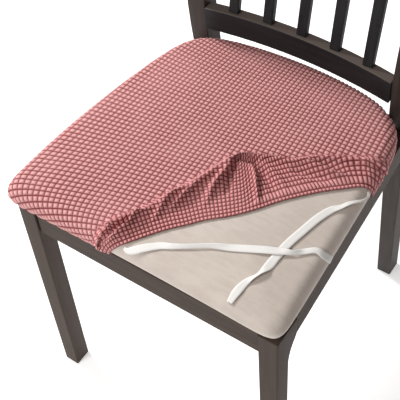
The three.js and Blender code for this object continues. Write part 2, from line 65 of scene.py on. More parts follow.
# ---------------------------------------------------------------- shader writing
class Term:
    """A socket of a shader, on which plain arithmetic adds Math nodes."""

    def __init__(self, shader: "Shader", socket: bpy.types.NodeSocket) -> None:
        """Wraps a socket of a shader."""
        self.shader = shader
        self.socket = socket

    def _math(self, operation: str, *values: "Term | float") -> "Term":
        """A Math node of that operation on the values."""
        return self.shader.node("ShaderNodeMath", {"operation": operation}, list(values))

    def __add__(self, other: "Term | float") -> "Term":
        """Sum."""
        return self._math("ADD", self, other)

    __radd__ = __add__

    def __sub__(self, other: "Term | float") -> "Term":
        """Difference."""
        return self._math("SUBTRACT", self, other)

    def __rsub__(self, other: "Term | float") -> "Term":
        """Difference, with this term taken away."""
        return self._math("SUBTRACT", other, self)

    def __mul__(self, other: "Term | float") -> "Term":
        """Product."""
        return self._math("MULTIPLY", self, other)

    __rmul__ = __mul__

    def __abs__(self) -> "Term":
        """Absolute value."""
        return self._math("ABSOLUTE", self)

    def wave(self) -> "Term":
        """1 at every whole number and 0 half-way between, in straight lines."""
        return abs(self._math("FRACT", self) - 0.5) * 2

    def most(self, other: "Term | float") -> "Term":
        """The larger of two."""
        return self._math("MAXIMUM", self, other)

    def ramp(self, low: float, high: float, start: float = 0.0, end: float = 1.0) -> "Term":
        """A smooth step from one value to another.

        Args:
            low: where the step begins.
            high: where it ends.
            start: the value before it.
            end: the value after it.

        Returns:
            The stepped value.
        """
        return self.shader.node("ShaderNodeMapRange", {"interpolation_type": "SMOOTHSTEP"},
                                {"Value": self, "From Min": low, "From Max": high,
                                 "To Min": start, "To Max": end})


class Shader:
    """A material's node tree, written with expressions."""

    def __init__(self, name: str) -> None:
        """Starts an empty material.

        Args:
            name: the material's name.
        """
        self.material = bpy.data.materials.new(name)
        self.material.use_nodes = True
        self.tree = self.material.node_tree
        self.tree.nodes.clear()

    def node(self, kind: str, settings: dict | None = None, values: dict | list | None = None,
             output: str | int = 0) -> Term:
        """Adds a node of any type.

        Args:
            kind: the node's type.
            settings: its own settings, which are made first.
            values: what its sockets hold, by name or in order: numbers, colours or terms.
            output: the output that is wanted.

        Returns:
            That output as a term.
        """
        node = self.tree.nodes.new(kind)
        for key, value in (settings or {}).items():
            setattr(node, key, value)
        values = values or {}
        pairs = enumerate(values) if isinstance(values, list) else values.items()
        for key, value in pairs:
            socket = node.inputs[key]
            if isinstance(value, Term):
                self.tree.links.new(value.socket, socket)
            else:
                socket.default_value = value
        return Term(self, node.outputs[output])

    def mix(self, factor: Term, first: Term | tuple, second: Term | tuple) -> Term:
        """A colour between two, with the factor as the share of the second."""
        return self.node("ShaderNodeMix", {"data_type": "RGBA"}, {0: factor, 6: first, 7: second}, output=2)

    def map_ways(self, name: str) -> tuple[Term, Term]:
        """The two coordinates of a UV map.

        Args:
            name: the map's name.

        Returns:
            The place along it and the place across it.
        """
        spot = self.node("ShaderNodeUVMap", {"uv_map": name})
        split = self.node("ShaderNodeSeparateXYZ", {}, {"Vector": spot})
        return split, Term(self, split.socket.node.outputs["Y"])

    def place(self, scale: tuple[float, float, float] = (1, 1, 1), turn: tuple = (0, 0, 0)) -> Term:
        """The place on the object, scaled and turned, for textures."""
        place = self.node("ShaderNodeTexCoord", output="Object")
        return self.node("ShaderNodeMapping", {}, {"Vector": place, "Scale": scale, "Rotation": turn})

    def noise(self, place: Term, scale: float, detail: float, rough: float = 0.5) -> Term:
        """Cloudy noise about 0.5 at a place."""
        return self.node("ShaderNodeTexNoise", {},
                         {"Vector": place, "Scale": scale, "Detail": detail, "Roughness": rough})

    def bump(self, height: Term, depth: float, strength: float, below: Term | None = None) -> Term:
        """The normal over a height from 0 to 1.

        Args:
            height: the height over the surface.
            depth: metres at height 1.
            strength: how much of it shows.
            below: a normal that it lies on.

        Returns:
            The normal.
        """
        values = {"Height": height, "Distance": depth, "Strength": strength}
        if below is not None:
            values["Normal"] = below
        return self.node("ShaderNodeBump", {}, values)

    def surface(self, **values: Term | float | tuple) -> bpy.types.Material:
        """Ends the material with its surface.

        Args:
            values: what the surface's sockets hold, with underscores for spaces in their names.

        Returns:
            The finished material.
        """
        named = {key.replace("_", " "): value for key, value in values.items()}
        shade = self.node("ShaderNodeBsdfPrincipled", {}, named)
        out = self.tree.nodes.new("ShaderNodeOutputMaterial")
        self.tree.links.new(shade.socket, out.inputs["Surface"])
        return self.material


def tone(red: float, green: float, blue: float) -> tuple[float, float, float, float]:
    """A linear colour from screen values of 0 to 255.

    Args:
        red: the red channel.
        green: the green channel.
        blue: the blue channel.

    Returns:
        The opaque colour.
    """
    def line(value: float) -> float:
        """One channel, made linear."""
        share = value / 255
        return share / 12.92 if share <= 0.04045 else ((share + 0.055) / 1.055) ** 2.4
    return line(red), line(green), line(blue), 1.0


# ---------------------------------------------------------------- finishes
class Grain(Enum):
    """The way that the wood's grain runs."""

    UPRIGHT = (9.0, 9.0, 0.7)
    ACROSS = (0.7, 9.0, 9.0)
    DEEP = (9.0, 0.7, 9.0)


@dataclass(frozen=True)
class Lacquer:
    """Dark lacquer over close-grained wood."""

    name: str = "brown"
    dark: tuple = tone(54, 43, 37)
    light: tuple = tone(72, 59, 51)
    # how strongly it mirrors
    gloss: float = 0.12
    # a painted highlight: the colour that the faces that look up take, as if lit from above
    upper: tuple = tone(72, 59, 51)
    rough: float = 0.48
    pore_depth: float = 0.0003

    def material(self, grain: Grain) -> bpy.types.Material:
        """The lacquer with its grain along one way.

        Args:
            grain: the way that the grain runs.

        Returns:
            The finish.
        """
        shader = Shader(f"lacquer_{self.name}_{grain.name.lower()}")
        streaks = shader.noise(shader.place(grain.value), 11.0, 6.0, 0.62)
        clouds = shader.noise(shader.place(), 7.0, 2.0)
        pores = shader.noise(shader.place(tuple(9 * v for v in grain.value)), 26.0, 3.0, 0.6)
        colour = shader.mix(streaks.ramp(0.3, 0.72), self.dark, self.light)
        colour = shader.mix(clouds.ramp(0.42, 0.7, 0, 0.35), colour, self.light)
        # painted highlight: faces that look up are mixed toward the upper colour
        facing = shader.node("ShaderNodeNewGeometry", output="Normal")
        up = shader.node("ShaderNodeSeparateXYZ", {}, {"Vector": facing}, "Z")
        colour = shader.mix(up.ramp(0.6, 0.85, 0, 0.85) * (1 - streaks * 0.5), colour, self.upper)
        normal = shader.bump(pores.ramp(0.35, 0.6) * 0.5 + streaks * 0.5, self.pore_depth, 0.35)
        return shader.surface(Base_Color=colour, Roughness=self.rough + streaks * 0.12 + clouds * 0.05,
                              Normal=normal, Specular_IOR_Level=self.gloss)


LEGS = Lacquer()
POSTS = Lacquer("deep", tone(46, 39, 35), tone(64, 56, 51), 0.2)
# the backrest's lacquer is painted shade: near black where its faces turn from the light, with a painted
# highlight in its upper colour on the faces that look up
BACKREST = Lacquer("shade_painted", tone(21, 23, 25), tone(35, 37, 39), 0.25, tone(118, 104, 96))


@dataclass(frozen=True)
class Suede:
    """The brushed beige cloth of the bare pad."""

    pale: tuple = tone(205, 194, 184)
    deep: tuple = tone(187, 174, 163)
    fibres: tuple = tone(150, 134, 122)
    stroke_depth: float = 0.0015
    fibre_depth: float = 0.0004

    def material(self) -> bpy.types.Material:
        """The brushed cloth with its clouded nap.

        Returns:
            The finish.
        """
        shader = Shader("suede")
        nap = shader.noise(shader.place(), 16.0, 4.0, 0.6)
        stroke = shader.noise(shader.place((1.0, 5.0, 1.0), (0, 0, 0.6)), 30.0, 4.0, 0.65)
        fibre = shader.noise(shader.place(), 1500.0, 2.0, 0.7)
        colour = shader.mix(nap.ramp(0.3, 0.75, 0, 0.6), self.pale, self.deep)
        colour = shader.mix(stroke.ramp(0.4, 0.68, 0, 0.45), colour, self.deep)
        colour = shader.mix(fibre.ramp(0.4, 0.62, 0, 0.12), colour, self.fibres)
        normal = shader.bump(fibre, self.fibre_depth, 0.4, shader.bump(stroke, self.stroke_depth, 0.35))
        return shader.surface(Base_Color=colour, Roughness=0.82 + nap * 0.15, Normal=normal,
                              Sheen_Weight=0.25, Sheen_Roughness=0.5)


# the knit's map counts the folded band's rows from here, far from those of the top
BAND_ROWS = 200


@dataclass(frozen=True)
class Waffle:
    """The knit of raised cells between dark sunk lines, in its tight and its loose state, with painted shade
    in the lines, on the cells' flanks and on the folded band.
    """

    cell: tuple = tone(230, 183, 180)
    # painted shade: the folded band's cells and lines are redder and darker, as in the band's shade
    loose: tuple = tone(226, 148, 147)
    flank_shade_and_yarn: tuple = tone(174, 88, 88)
    # painted shade in the sunk lines between cells
    line: tuple = tone(82, 14, 19)
    band_line_shade: tuple = tone(92, 14, 20)
    bloom: tuple = tone(240, 180, 178)
    # yarns to a cell
    yarns: float = 4.0
    depth: float = 0.0009

    def material(self) -> bpy.types.Material:
        """The knit, laid out by its own map of cells.

        Returns:
            The finish.
        """
        shader = Shader("waffle_knit")
        along, across = shader.map_ways("Knit")
        near_u, near_v = along.wave(), across.wave()
        # 1 on the folded band, where the knit is loose and its cells and lines get a redder, darker painted
        # shade
        loose = across.ramp(BAND_ROWS - 20.0, BAND_ROWS - 10.0)
        # 1 in the sunk lines between cells, which are wider where it is loose and a row above the hem; their
        # dark colour is painted shade, stronger in the rows' lines than the columns' for the light's
        # direction
        line = near_u.ramp(0.72, 0.95, 0, 0.85).most(near_v.ramp(0.66, 0.92))
        line = line.most(loose * near_u.ramp(0.64, 0.9).most(near_v.ramp(0.62, 0.9)))
        line = line.most(abs(across - (BAND_ROWS + 1.0)).ramp(0.1, 0.24, 1, 0))
        # painted shade on each cell's flanks, darker toward its sunk lines
        flank_shade_and_yarn = near_u.ramp(0.3, 0.8).most(near_v.ramp(0.25, 0.75))
        yarn = (along * self.yarns).wave()
        stitch = (across * self.yarns * 1.5 + yarn * 0.4).wave()
        fuzz = shader.noise(shader.place(), 900.0, 3.0, 0.6)
        clouds = shader.noise(shader.place(), 14.0, 3.0)
        # painted shade on the folded band's cells
        colour = shader.mix(loose * 0.35, self.cell, self.loose)
        colour = shader.mix(flank_shade_and_yarn * 0.55, colour, self.flank_shade_and_yarn)
        colour = shader.mix(line, colour, shader.mix(loose, self.line, self.band_line_shade))
        # the flanks' painted-shade tone also colours the yarn streaks and the fuzz
        colour = shader.mix(yarn.ramp(0.2, 0.9, 0, 0.3), colour, self.flank_shade_and_yarn)
        colour = shader.mix(fuzz.ramp(0.35, 0.7, 0, 0.35), colour, self.flank_shade_and_yarn)
        colour = shader.mix(clouds.ramp(0.4, 0.7, 0, 0.1), colour, self.bloom)
        height = (1 - line) * 0.6 + (1 - yarn) * 0.18 + (1 - stitch) * 0.08 + fuzz * 0.14
        normal = shader.bump(height, self.depth, 0.7)
        return shader.surface(Base_Color=colour, Roughness=0.88 + fuzz * 0.1, Normal=normal,
                              Sheen_Weight=0.02, Sheen_Roughness=0.5)


@dataclass(frozen=True)
class Tape:
    """White woven tape."""

    bright: tuple = tone(236, 234, 230)
    shade: tuple = tone(205, 201, 195)
    # ribs in the map's whole length, and waves in its whole height
    ribs: float = 190.0
    waves: float = 12.0
    depth: float = 0.0003

    def material(self) -> bpy.types.Material:
        """The tape with its fine ribs along its map.

        Returns:
            The finish.
        """
        shader = Shader("woven_tape")
        along, across = shader.map_ways("OFBake")
        rib, warp = (along * self.ribs).wave(), (across * self.waves).wave()
        fuzz = shader.noise(shader.place(), 1200.0, 2.0)
        colour = shader.mix(rib.ramp(0.3, 1.0, 0, 0.35), self.bright, self.shade)
        colour = shader.mix(fuzz.ramp(0.4, 0.7, 0, 0.2), colour, self.shade)
        normal = shader.bump(rib * 0.5 + warp * 0.2 + fuzz * 0.3, self.depth, 0.5)
        return shader.surface(Base_Color=colour, Roughness=0.78 + fuzz * 0.1, Normal=normal)


# ---------------------------------------------------------------- shapes in the plan
def smooth(values: Values, low: float, high: float) -> Values:
    """A smooth step from 0 to 1.

    Args:
        values: where it is wanted.
        low: where it is still 0.
        high: where it is 1.

    Returns:
        The step at each value.
    """
    share = np.clip((values - low) / (high - low), 0, 1)
    return share * share * (3 - 2 * share)


def smooth_line(rows: list[tuple] | Values, steps: int) -> Values:
    """A smooth line through a table's rows, all of whose columns are carried along.

    Args:
        rows: the table, a row to each point.
        steps: how many steps the line is cut into.

    Returns:
        One row to each of steps + 1 points.
    """
    table = np.asarray(rows, float)
    last = len(table) - 1
    place = np.linspace(0, last, steps + 1)
    first = np.minimum(place.astype(int), last - 1)
    w = (place - first)[:, None]
    p, q, r, s = (table[np.clip(first + k, 0, last)] for k in (-1, 0, 1, 2))
    return 0.5 * (2 * q + (r - p) * w + (2 * p - 5 * q + 4 * r - s) * w**2
                  + (3 * q - p - 3 * r + s) * w**3)


def travelled(points: Values) -> Values:
    """How far a line has travelled at each of its points.

    Args:
        points: the line's points, or those of several lines of as many points.

    Returns:
        The distance from its first point.
    """
    steps = np.linalg.norm(np.diff(points, axis=-2), axis=-1)
    return np.concatenate([np.zeros_like(steps[..., :1]), np.cumsum(steps, axis=-1)], axis=-1)


def left_of(line: Values) -> Values:
    """The direction to the left of a line, at each of its points.

    Args:
        line: its points, whose first two columns are their place.

    Returns:
        Directions of length 1.
    """
    way = np.gradient(line[:, :2], axis=0)
    way /= np.linalg.norm(way, axis=1, keepdims=True)
    return np.stack([-way[:, 1], way[:, 0]], 1)


def blurred(values: Values, reach: int) -> Values:
    """Values averaged with their neighbours, their ends kept.

    Args:
        values: the values, in order.
        reach: how many neighbours to either side count.

    Returns:
        As many values.
    """
    weights = np.hanning(2 * reach + 3)[1:-1]
    padded = np.concatenate([2 * values[0] - values[reach:0:-1], values,
                             2 * values[-1] - values[-2:-reach - 2:-1]])
    return np.convolve(padded, weights / weights.sum(), "valid")


def at_index(rows: Values, place: Values) -> Values:
    """Rows of a table at fractional indices.

    Args:
        rows: the table.
        place: the indices.

    Returns:
        A row to each index.
    """
    first = np.clip(place.astype(int), 0, len(rows) - 2)
    w = (place - first)[:, None]
    return rows[first] * (1 - w) + rows[first + 1] * w


def nearest(line: Values, a: Values, b: Values) -> tuple[Values, Values, Values]:
    """The nearest place of a line to each point.

    Args:
        line: the line's points.
        a: the points' first coordinate.
        b: the points' second coordinate.

    Returns:
        The distance, the side (positive on the right hand) and the place as an index of the line.
    """
    far = np.full(a.shape, np.inf)
    side, at = np.zeros(a.shape), np.zeros(a.shape)
    for i in range(len(line) - 1):
        x, y = line[i, :2]
        dx, dy = line[i + 1, :2] - line[i, :2]
        w = np.clip(((a - x) * dx + (b - y) * dy) / (dx * dx + dy * dy), 0, 1)
        ex, ey = a - x - w * dx, b - y - w * dy
        gap = np.hypot(ex, ey)
        closer = gap < far
        far = np.where(closer, gap, far)
        side = np.where(closer, np.sign(dy * ex - dx * ey), side)
        at = np.where(closer, i + w, at)
    return far, side, at


@dataclass
class PadShape:
    """The seat pad's surface, told by places on its top as if the rolled edge were laid out flat."""

    # the four sides: where their ends lie, and how far they bow out between them
    left_front: float = -236
    left_back: float = -183
    left_bow: float = 15
    right_front: float = 223
    right_back: float = 195
    right_bow: float = 1.5
    front: float = -217
    front_bow: float = -3
    back: float = 193
    back_bow: float = 28
    # the higher, the squarer the corner
    corner_front_left: float = 22
    corner_front_right: float = 20
    corner_back_left: float = 9.5
    corner_back_right: float = 6.5
    # the height of the widest outline, the share of it where the top starts to roll over, the
    # millimetres in one such share, and the roll's radii above and below the widest outline
    widest_z: float = 446.3
    shoulder: float = 0.907
    unit: float = 212
    roll_up: float = 19
    roll_down: float = 15.9
    # the slope of the crown where the roll starts, its height and how flat it is in the middle
    tilt: float = math.radians(7)
    crown: float = 9
    crown_power: float = 2.6
    # the bare corner is pressed lower by this share, round this place
    corner_dip: float = 0.34
    corner_spot: tuple[float, float] = (222, -210)
    corner_wide: float = 52
    # the back posts press the pad in behind this place, and how softly they do
    post_x: float = 157
    post_y: float = 188.5
    post_blend: float = 12
    post_soft: float = 2
    # how evenly places are spread along each side; the rest crowds them to the corners
    even: float = 0.35
    # half the width and half the depth, near enough to start the search for a place from
    guess: tuple[float, float] = (220, 210)

    def sides(self, s: Values, t: Values) -> tuple[Values, Values, Values, Values]:
        """The four bowed sides, for places on the square.

        Args:
            s: how far across, -1 at the left side and 1 at the right.
            t: how far back, -1 at the front side and 1 at the back.

        Returns:
            Where the left, right, front and back sides lie.
        """
        up = (t + 1) / 2
        left = self.left_front + (self.left_back - self.left_front) * up - self.left_bow * (1 - t * t)
        right = self.right_front + (self.right_back - self.right_front) * up + self.right_bow * (1 - t * t)
        return left, right, self.front - self.front_bow * (1 - s * s), self.back + self.back_bow * (1 - s * s)

    def from_square(self, s: Values, t: Values) -> tuple[Values, Values]:
        """Laid-out millimetres of places on the square of the four sides."""
        left, right, front, back = self.sides(s, t)
        return left + (right - left) * (s + 1) / 2, front + (back - front) * (t + 1) / 2

    def to_square(self, a: Values, b: Values) -> tuple[Values, Values]:
        """The places on the square of laid-out millimetres, found by repeated steps.

        Args:
            a: how far to the right.
            b: how far back.

        Returns:
            The two coordinates on the square.
        """
        s, t = a / self.guess[0], b / self.guess[1]
        for _ in range(12):
            left, right, front, back = self.sides(s, t)
            s, t = (2 * a - left - right) / (right - left), (2 * b - front - back) / (back - front)
        return s, t

    def reach(self, s: Values, t: Values) -> Values:
        """How far out places are: 1 on the pad's outline, whose corners differ in squareness.

        Args:
            s: how far across the square.
            t: how far back on it.

        Returns:
            The shares of the way out.
        """
        most = np.maximum(np.maximum(abs(s), abs(t)), 1e-6)
        u, v = s / most, t / most
        front, back = ((1 - v) / 2) ** 2, ((1 + v) / 2) ** 2
        left, right = ((1 - u) / 2) ** 2, ((1 + u) / 2) ** 2
        n = (front * (self.corner_front_left * left + self.corner_front_right * right)
             + back * (self.corner_back_left * left + self.corner_back_right * right)) / (
                 (front + back) * (left + right))
        return most * (abs(u) ** n + abs(v) ** n) ** (1 / n)

    def share_of(self, a: Values, b: Values) -> Values:
        """How far out laid-out places are."""
        return self.reach(*self.to_square(a, b))

    def out_through(self, s: Values, t: Values, share: Values | float) -> tuple[Values, Values]:
        """The laid-out place at a share, straight out through a place on the square."""
        k = share / self.reach(s, t)
        return self.from_square(s * k, t * k)

    def rolled(self, share: Values) -> tuple[Values, Values]:
        """Cross-section of the rolled edge.

        Args:
            share: the laid-out share, 1 being near the widest outline.

        Returns:
            The share in plan and the height.
        """
        flat = (self.widest_z + self.roll_up * math.cos(self.tilt)
                + self.crown * (1 - (np.minimum(share, self.shoulder) / self.shoulder) ** self.crown_power))
        arc = (share - self.shoulder) * self.unit
        angle = self.tilt + arc / self.roll_up
        over = self.shoulder + self.roll_up * (np.sin(angle) - math.sin(self.tilt)) / self.unit
        over_z = self.widest_z + self.roll_up * np.cos(angle)
        widest = self.shoulder + self.roll_up * (1 - math.sin(self.tilt)) / self.unit
        turn = np.clip((arc - self.roll_up * (math.pi / 2 - self.tilt)) / self.roll_down, 0, math.pi / 2)
        under = widest - self.roll_down * (1 - np.cos(turn)) / self.unit
        under_z = self.widest_z - self.roll_down * np.sin(turn)
        on_top, upper = share <= self.shoulder, angle <= math.pi / 2
        return (np.where(on_top, share, np.where(upper, over, under)),
                np.where(on_top, flat, np.where(upper, over_z, under_z)))

    def share_at(self, angle: float) -> float:
        """The laid-out share at which the rolled edge has turned by an angle."""
        return self.shoulder + (self.roll_up * (math.pi / 2 - self.tilt)
                                + self.roll_down * (angle - math.pi / 2)) / self.unit

    def on(self, a: Values, b: Values) -> Values:
        """Points of the pad's surface under laid-out places.

        Args:
            a: how far to the right.
            b: how far back.

        Returns:
            The points in the chair's plan.
        """
        s, t = self.to_square(a, b)
        r = self.reach(s, t)
        share, z = self.rolled(r)
        k = share / np.maximum(r, 1e-9)
        x, y = self.from_square(s * k, t * k)
        behind = self.post_soft * np.logaddexp(0, (y - self.post_y) / self.post_soft)
        y = y - smooth(abs(x), self.post_x - self.post_blend, self.post_x) * behind
        spot_a, spot_b = self.corner_spot
        corner = np.exp(-(((a - spot_a) ** 2 + (b - spot_b) ** 2) / self.corner_wide**2))
        high = np.where(z > self.widest_z, 1 - self.corner_dip * corner, 1)
        return np.stack([x, y, self.widest_z + (z - self.widest_z) * high], -1)

    def off(self, a: Values, b: Values, lift: Values | float) -> Values:
        """The same points, lifted off the surface along its normal.

        Args:
            a: how far to the right.
            b: how far back.
            lift: how far off the surface.

        Returns:
            The points in the chair's plan.
        """
        step = 0.5
        du = self.on(a + step, b) - self.on(a - step, b)
        dv = self.on(a, b + step) - self.on(a, b - step)
        normal = np.cross(du, dv)
        normal /= np.linalg.norm(normal, axis=-1, keepdims=True)
        return self.on(a, b) + normal * np.asarray(lift, float)[..., None]

    def edge_place(self, q: Values, share: Values | float) -> tuple[Values, Values]:
        """Laid-out places round the edge.

        Args:
            q: from 0 to 4, starting at the bare corner and going round by the right side.
            share: how far out.

        Returns:
            The two coordinates.
        """
        q = np.asarray(q, float) % 4
        side = np.floor(q).astype(int)
        e = 2 * (q - side) - 1
        along = self.even * e + (1 - self.even) * np.sin(math.pi / 2 * e)
        one = np.ones_like(along)
        s = np.choose(side, [one, -along, -one, along])
        t = np.choose(side, [along, one, -along, -one])
        return self.out_through(s, t, share)


@dataclass
class ClothLines:
    """Where the cover's hem, its main fold and its lesser folds run, on the laid-out pad."""

    pad: PadShape
    # how far the cloth follows the rolled edge under the pad, and where it starts to be drawn tight
    hem_angle: float = math.radians(145.5)
    tight_angle: float = 1.6
    # where the crest and the hem cross the front and the right edge, as places round the pad
    crest_front: float = 3.4137
    crest_right: float = 0.6985
    hem_front: float = 3.431
    hem_right: float = 0.63
    # the crest's height as it goes over each edge
    crest_front_heights: tuple = (3, 6, 9)
    crest_right_heights: tuple = (8, 3.5, 1)
    # how far behind the crest its steep side comes down to the flat cloth
    back: float = 12.5
    # the crest's front side: a slope down to the hem, and the rolled rim that stands on it
    slope: float = 0.58
    slope_power: float = 1.3
    rim: float = 0.42
    rim_reach: float = 4.8
    rim_power: float = 2.2
    # folds die out this near the hem, and creases bottom out as softly as this
    hem_calm: float = 18
    floor_soft: float = 0.3
    # how sharply the lesser rims rise
    pleat_power: float = 1.8
    # the crest's heights end this near the ends of its line, in steps
    end_room: float = 0.02
    # how far behind the steep side the columns' feet lie, and how many neighbours even out the
    # columns' places on the crest and at their feet
    foot_room: float = 0.8
    crest_blur: int = 20
    foot_blur: int = 9
    # steps in the crest and the hem, and in each lesser fold
    line_steps: int = 160
    fold_steps: int = 24
    # points of the crest, with its height over the flat cloth
    crest_rows: tuple = (
        (-56, -190, 11), (-46, -175, 11), (-34, -162, 10), (-25, -146, 10.5), (-18, -129, 11),
        (-11, -110, 11), (-1, -91, 11.5), (9, -66, 12), (17, -42, 12.5), (26, -17, 13), (36, -4, 13),
        (50, 3, 13), (72, 13, 12), (96, 23, 11), (108, 34, 11), (122, 47, 11), (140, 60, 10.5),
        (158, 70, 10), (175, 81, 9))
    # points of the hem across the bare pad
    hem_rows: tuple = (
        (-44, -221), (-31, -207), (-20, -197), (-8, -182), (4, -167), (17, -152), (31, -138),
        (48, -119), (66, -103), (82, -87), (98, -66), (114, -42), (134, -17), (154, 6), (174, 26),
        (190, 42), (201, 51), (211, 56))
    # rows of the crest's table, and the rows of the hem's table that they are drawn to
    crest_ties: tuple = (0.15, 1.5, 8.8, 13, 15.3, 20.65, 22, 23.85)
    hem_ties: tuple = (0, 1, 7.3, 10.6, 13, 16.4, 17.7, 19)
    # reach to the left, reach to the right, and the run of points with their heights
    folds: tuple = (
        # the rims of the pleats on the front side of the apex, and the creases beside them
        (6, 13, ((25, -10, 1), (30, -40, 10), (30, -70, 10), (35, -95, 2))),
        (5, 11, ((20, -45, 1), (10, -80, 9), (5, -105, 11), (0, -130, 3))),
        (5, 10, ((0, -90, 1), (-10, -120, 10), (-10, -150, 3))),
        (4, 8, ((-25, -142, 1), (-30, -153, 6), (-33, -166, 10), (-34, -178, 10), (-39, -192, 9),
                (-45, -206, 6))),
        (6, 7, ((33, -20, -5), (36, -34, -7), (42, -51, -6), (49, -67, -3))),
        (5, 5, ((-38, -166, -4), (-42, -180, -9), (-48, -194, -12), (-56, -207, -11), (-62, -222, -7))),
        # the hollow under the apex, and the leaf of cloth that falls from it to the hem
        (8, 6, ((27, -17, -6), (32, -11, -11), (39, -8, -12), (47, -6, -9), (53, -4, -5))),
        (6, 4, ((52, -12, 3), (62, -21, 8), (70, -30, 9), (78, -40, 8), (87, -52, 5), (94, -63, 1))),
        (5, 8, ((52, -5, -5), (65, -10, -10), (75, -15, -11), (88, -22, -8), (104, -33, -3))),
        # ripples of the side that slid back from the right
        (6, 6, ((62, 3, 1), (80, -3, 2), (101, -12, 2), (114, -22, 1))),
        (6, 9, ((103, 28, 2), (111, 31, 6), (120, 33, 9), (131, 35, 10), (144, 37, 9), (157, 40, 6),
                (169, 44, 3))),
        (6, 8, ((106, 14, -3), (118, 17, -5), (132, 20, -5), (147, 26, -3))),
        (8, 8, ((176, 78, 5), (190, 85, 4), (201, 92, 1))),
        (4, 5, ((184, 79, -2), (193, 86, -6), (203, 92, -6), (213, 98, -3))),
    )
    hem_share: float = field(init=False)
    crest_table: list = field(init=False)
    hem_table: list = field(init=False)
    crest: Values = field(init=False)
    hem: Values = field(init=False)
    fold_lines: list = field(init=False)

    def __post_init__(self) -> None:
        """Runs the crest and the hem on down both rolled edges."""
        pad = self.pad
        self.hem_share = pad.share_at(self.hem_angle)

        def edge(q: float, share: float, *more: float) -> tuple:
            """A table's row at a place on the edge."""
            a, b = pad.edge_place(q, share)
            return float(a), float(b), *more

        past_hem = self.hem_share + 0.02
        front = zip((past_hem, 1, pad.shoulder), self.crest_front_heights)
        right = zip((0, 0.01, 0.02), (pad.shoulder, 1, past_hem), self.crest_right_heights)
        self.crest_table = [*(edge(self.crest_front, share, high) for share, high in front),
                            *self.crest_rows,
                            *(edge(self.crest_right + on, share, high) for on, share, high in right)]
        self.hem_table = [edge(self.hem_front, self.hem_share), *self.hem_rows,
                          edge(self.hem_right, self.hem_share)]
        self.crest = smooth_line(self.crest_table, self.line_steps)
        self.hem = smooth_line(self.hem_table, self.line_steps)
        self.fold_lines = [smooth_line(run, self.fold_steps) for _, _, run in self.folds]

    def height(self, a: Values, b: Values) -> Values:
        """How high the cloth stands over its flat lie, drawn tight again under the edge."""
        tight = smooth(self.pad.share_of(a, b), self.pad.share_at(self.tight_angle), self.hem_share)
        return (1 - tight) * self._loose(a, b)

    def _loose(self, a: Values, b: Values) -> Values:
        """How high the main fold stands, with the lesser ones on its front side.

        Args:
            a: how far to the right.
            b: how far back.

        Returns:
            The heights, before the edge draws them tight.
        """
        far, side, at = nearest(self.crest, a, b)
        last = len(self.crest) - 1
        at_row = np.clip(np.round(at).astype(int), 0, last)
        top = self.crest[at_row, 2]
        behind = top * (1 - smooth(far, 0, self.back))
        hem_far, _, _ = nearest(self.hem, a, b)
        w = far / (far + hem_far + 1e-6)
        front = top * (self.slope * (1 - w) ** self.slope_power
                       + self.rim * np.exp(-((far / self.rim_reach) ** self.rim_power)))
        fade = smooth(hem_far, 0, self.hem_calm)
        for (left, right, _), line in zip(self.folds, self.fold_lines):
            near, on_side, on_row = nearest(line, a, b)
            high = line[np.clip(np.round(on_row).astype(int), 0, len(line) - 1), 2]
            span = np.where(on_side > 0, right, left)
            # a rim comes to an edge, a crease has a round floor
            part = 1 - np.minimum(np.where(high > 0, np.hypot(near, 1) - 1, near) / span, 1)
            shape = np.where(high > 0, part ** self.pleat_power, part * part * (3 - 2 * part))
            front = front + high * fade * shape
        front = self.floor_soft * np.logaddexp(0, front / self.floor_soft)
        height = np.where(side < 0, behind, front)
        return np.where((at < self.end_room) | (at > last - self.end_room), 0, height)

    def rulings(self, column: float, phases: tuple) -> "Rulings":
        """Draws a line from the hem over the crest to its foot for every column of cells.

        Args:
            column: how wide a column is at the hem.
            phases: where in each column a line is drawn, from 0 to 1.

        Returns:
            The lines.
        """
        travel = travelled(self.hem[:, :2])
        count = int(round(travel[-1] / column))
        cells = np.append((np.arange(count)[:, None] + np.array(phases)).ravel(), count)
        on_hem = np.interp(cells / count * travel[-1], travel, np.arange(len(travel)))
        hem_row = on_hem * (len(self.hem_table) - 1) / (len(self.hem) - 1)
        crest_row = blurred(np.interp(hem_row, self.hem_ties, self.crest_ties), self.crest_blur)
        on_crest = crest_row * (len(self.crest) - 1) / (len(self.crest_table) - 1)
        hem = at_index(self.hem[:, :2], on_hem)
        crest = at_index(self.crest[:, :2], on_crest)
        foot = crest + at_index(left_of(self.crest), on_crest) * (self.back + self.foot_room)
        foot = np.stack([blurred(way, self.foot_blur) for way in foot.T], 1)
        for end in (0, -1):
            foot[end] = self.pad.out_through(*self.pad.to_square(*foot[end]), self.hem_share)
        return Rulings(cells, hem, crest, foot)


@dataclass
class Rulings:
    """Lines across the folded band, each from the hem over the crest to its foot."""

    # how many columns of cells lie before each line
    cells: Values
    hem: Values
    crest: Values
    foot: Values

    def __getitem__(self, which: slice) -> "Rulings":
        """Some of the lines."""
        return Rulings(self.cells[which], self.hem[which], self.crest[which], self.foot[which])

    def along(self, w: Values) -> Values:
        """Places along every line.

        Args:
            w: how far along: 0 at the hem, 1 on the crest, 2 at its foot.

        Returns:
            The places, a row to each line.
        """
        w = np.asarray(w)[..., None]
        up = self.hem[:, None] + (self.crest - self.hem)[:, None] * np.minimum(w, 1)
        return up + (self.foot - self.crest)[:, None] * np.maximum(w - 1, 0)


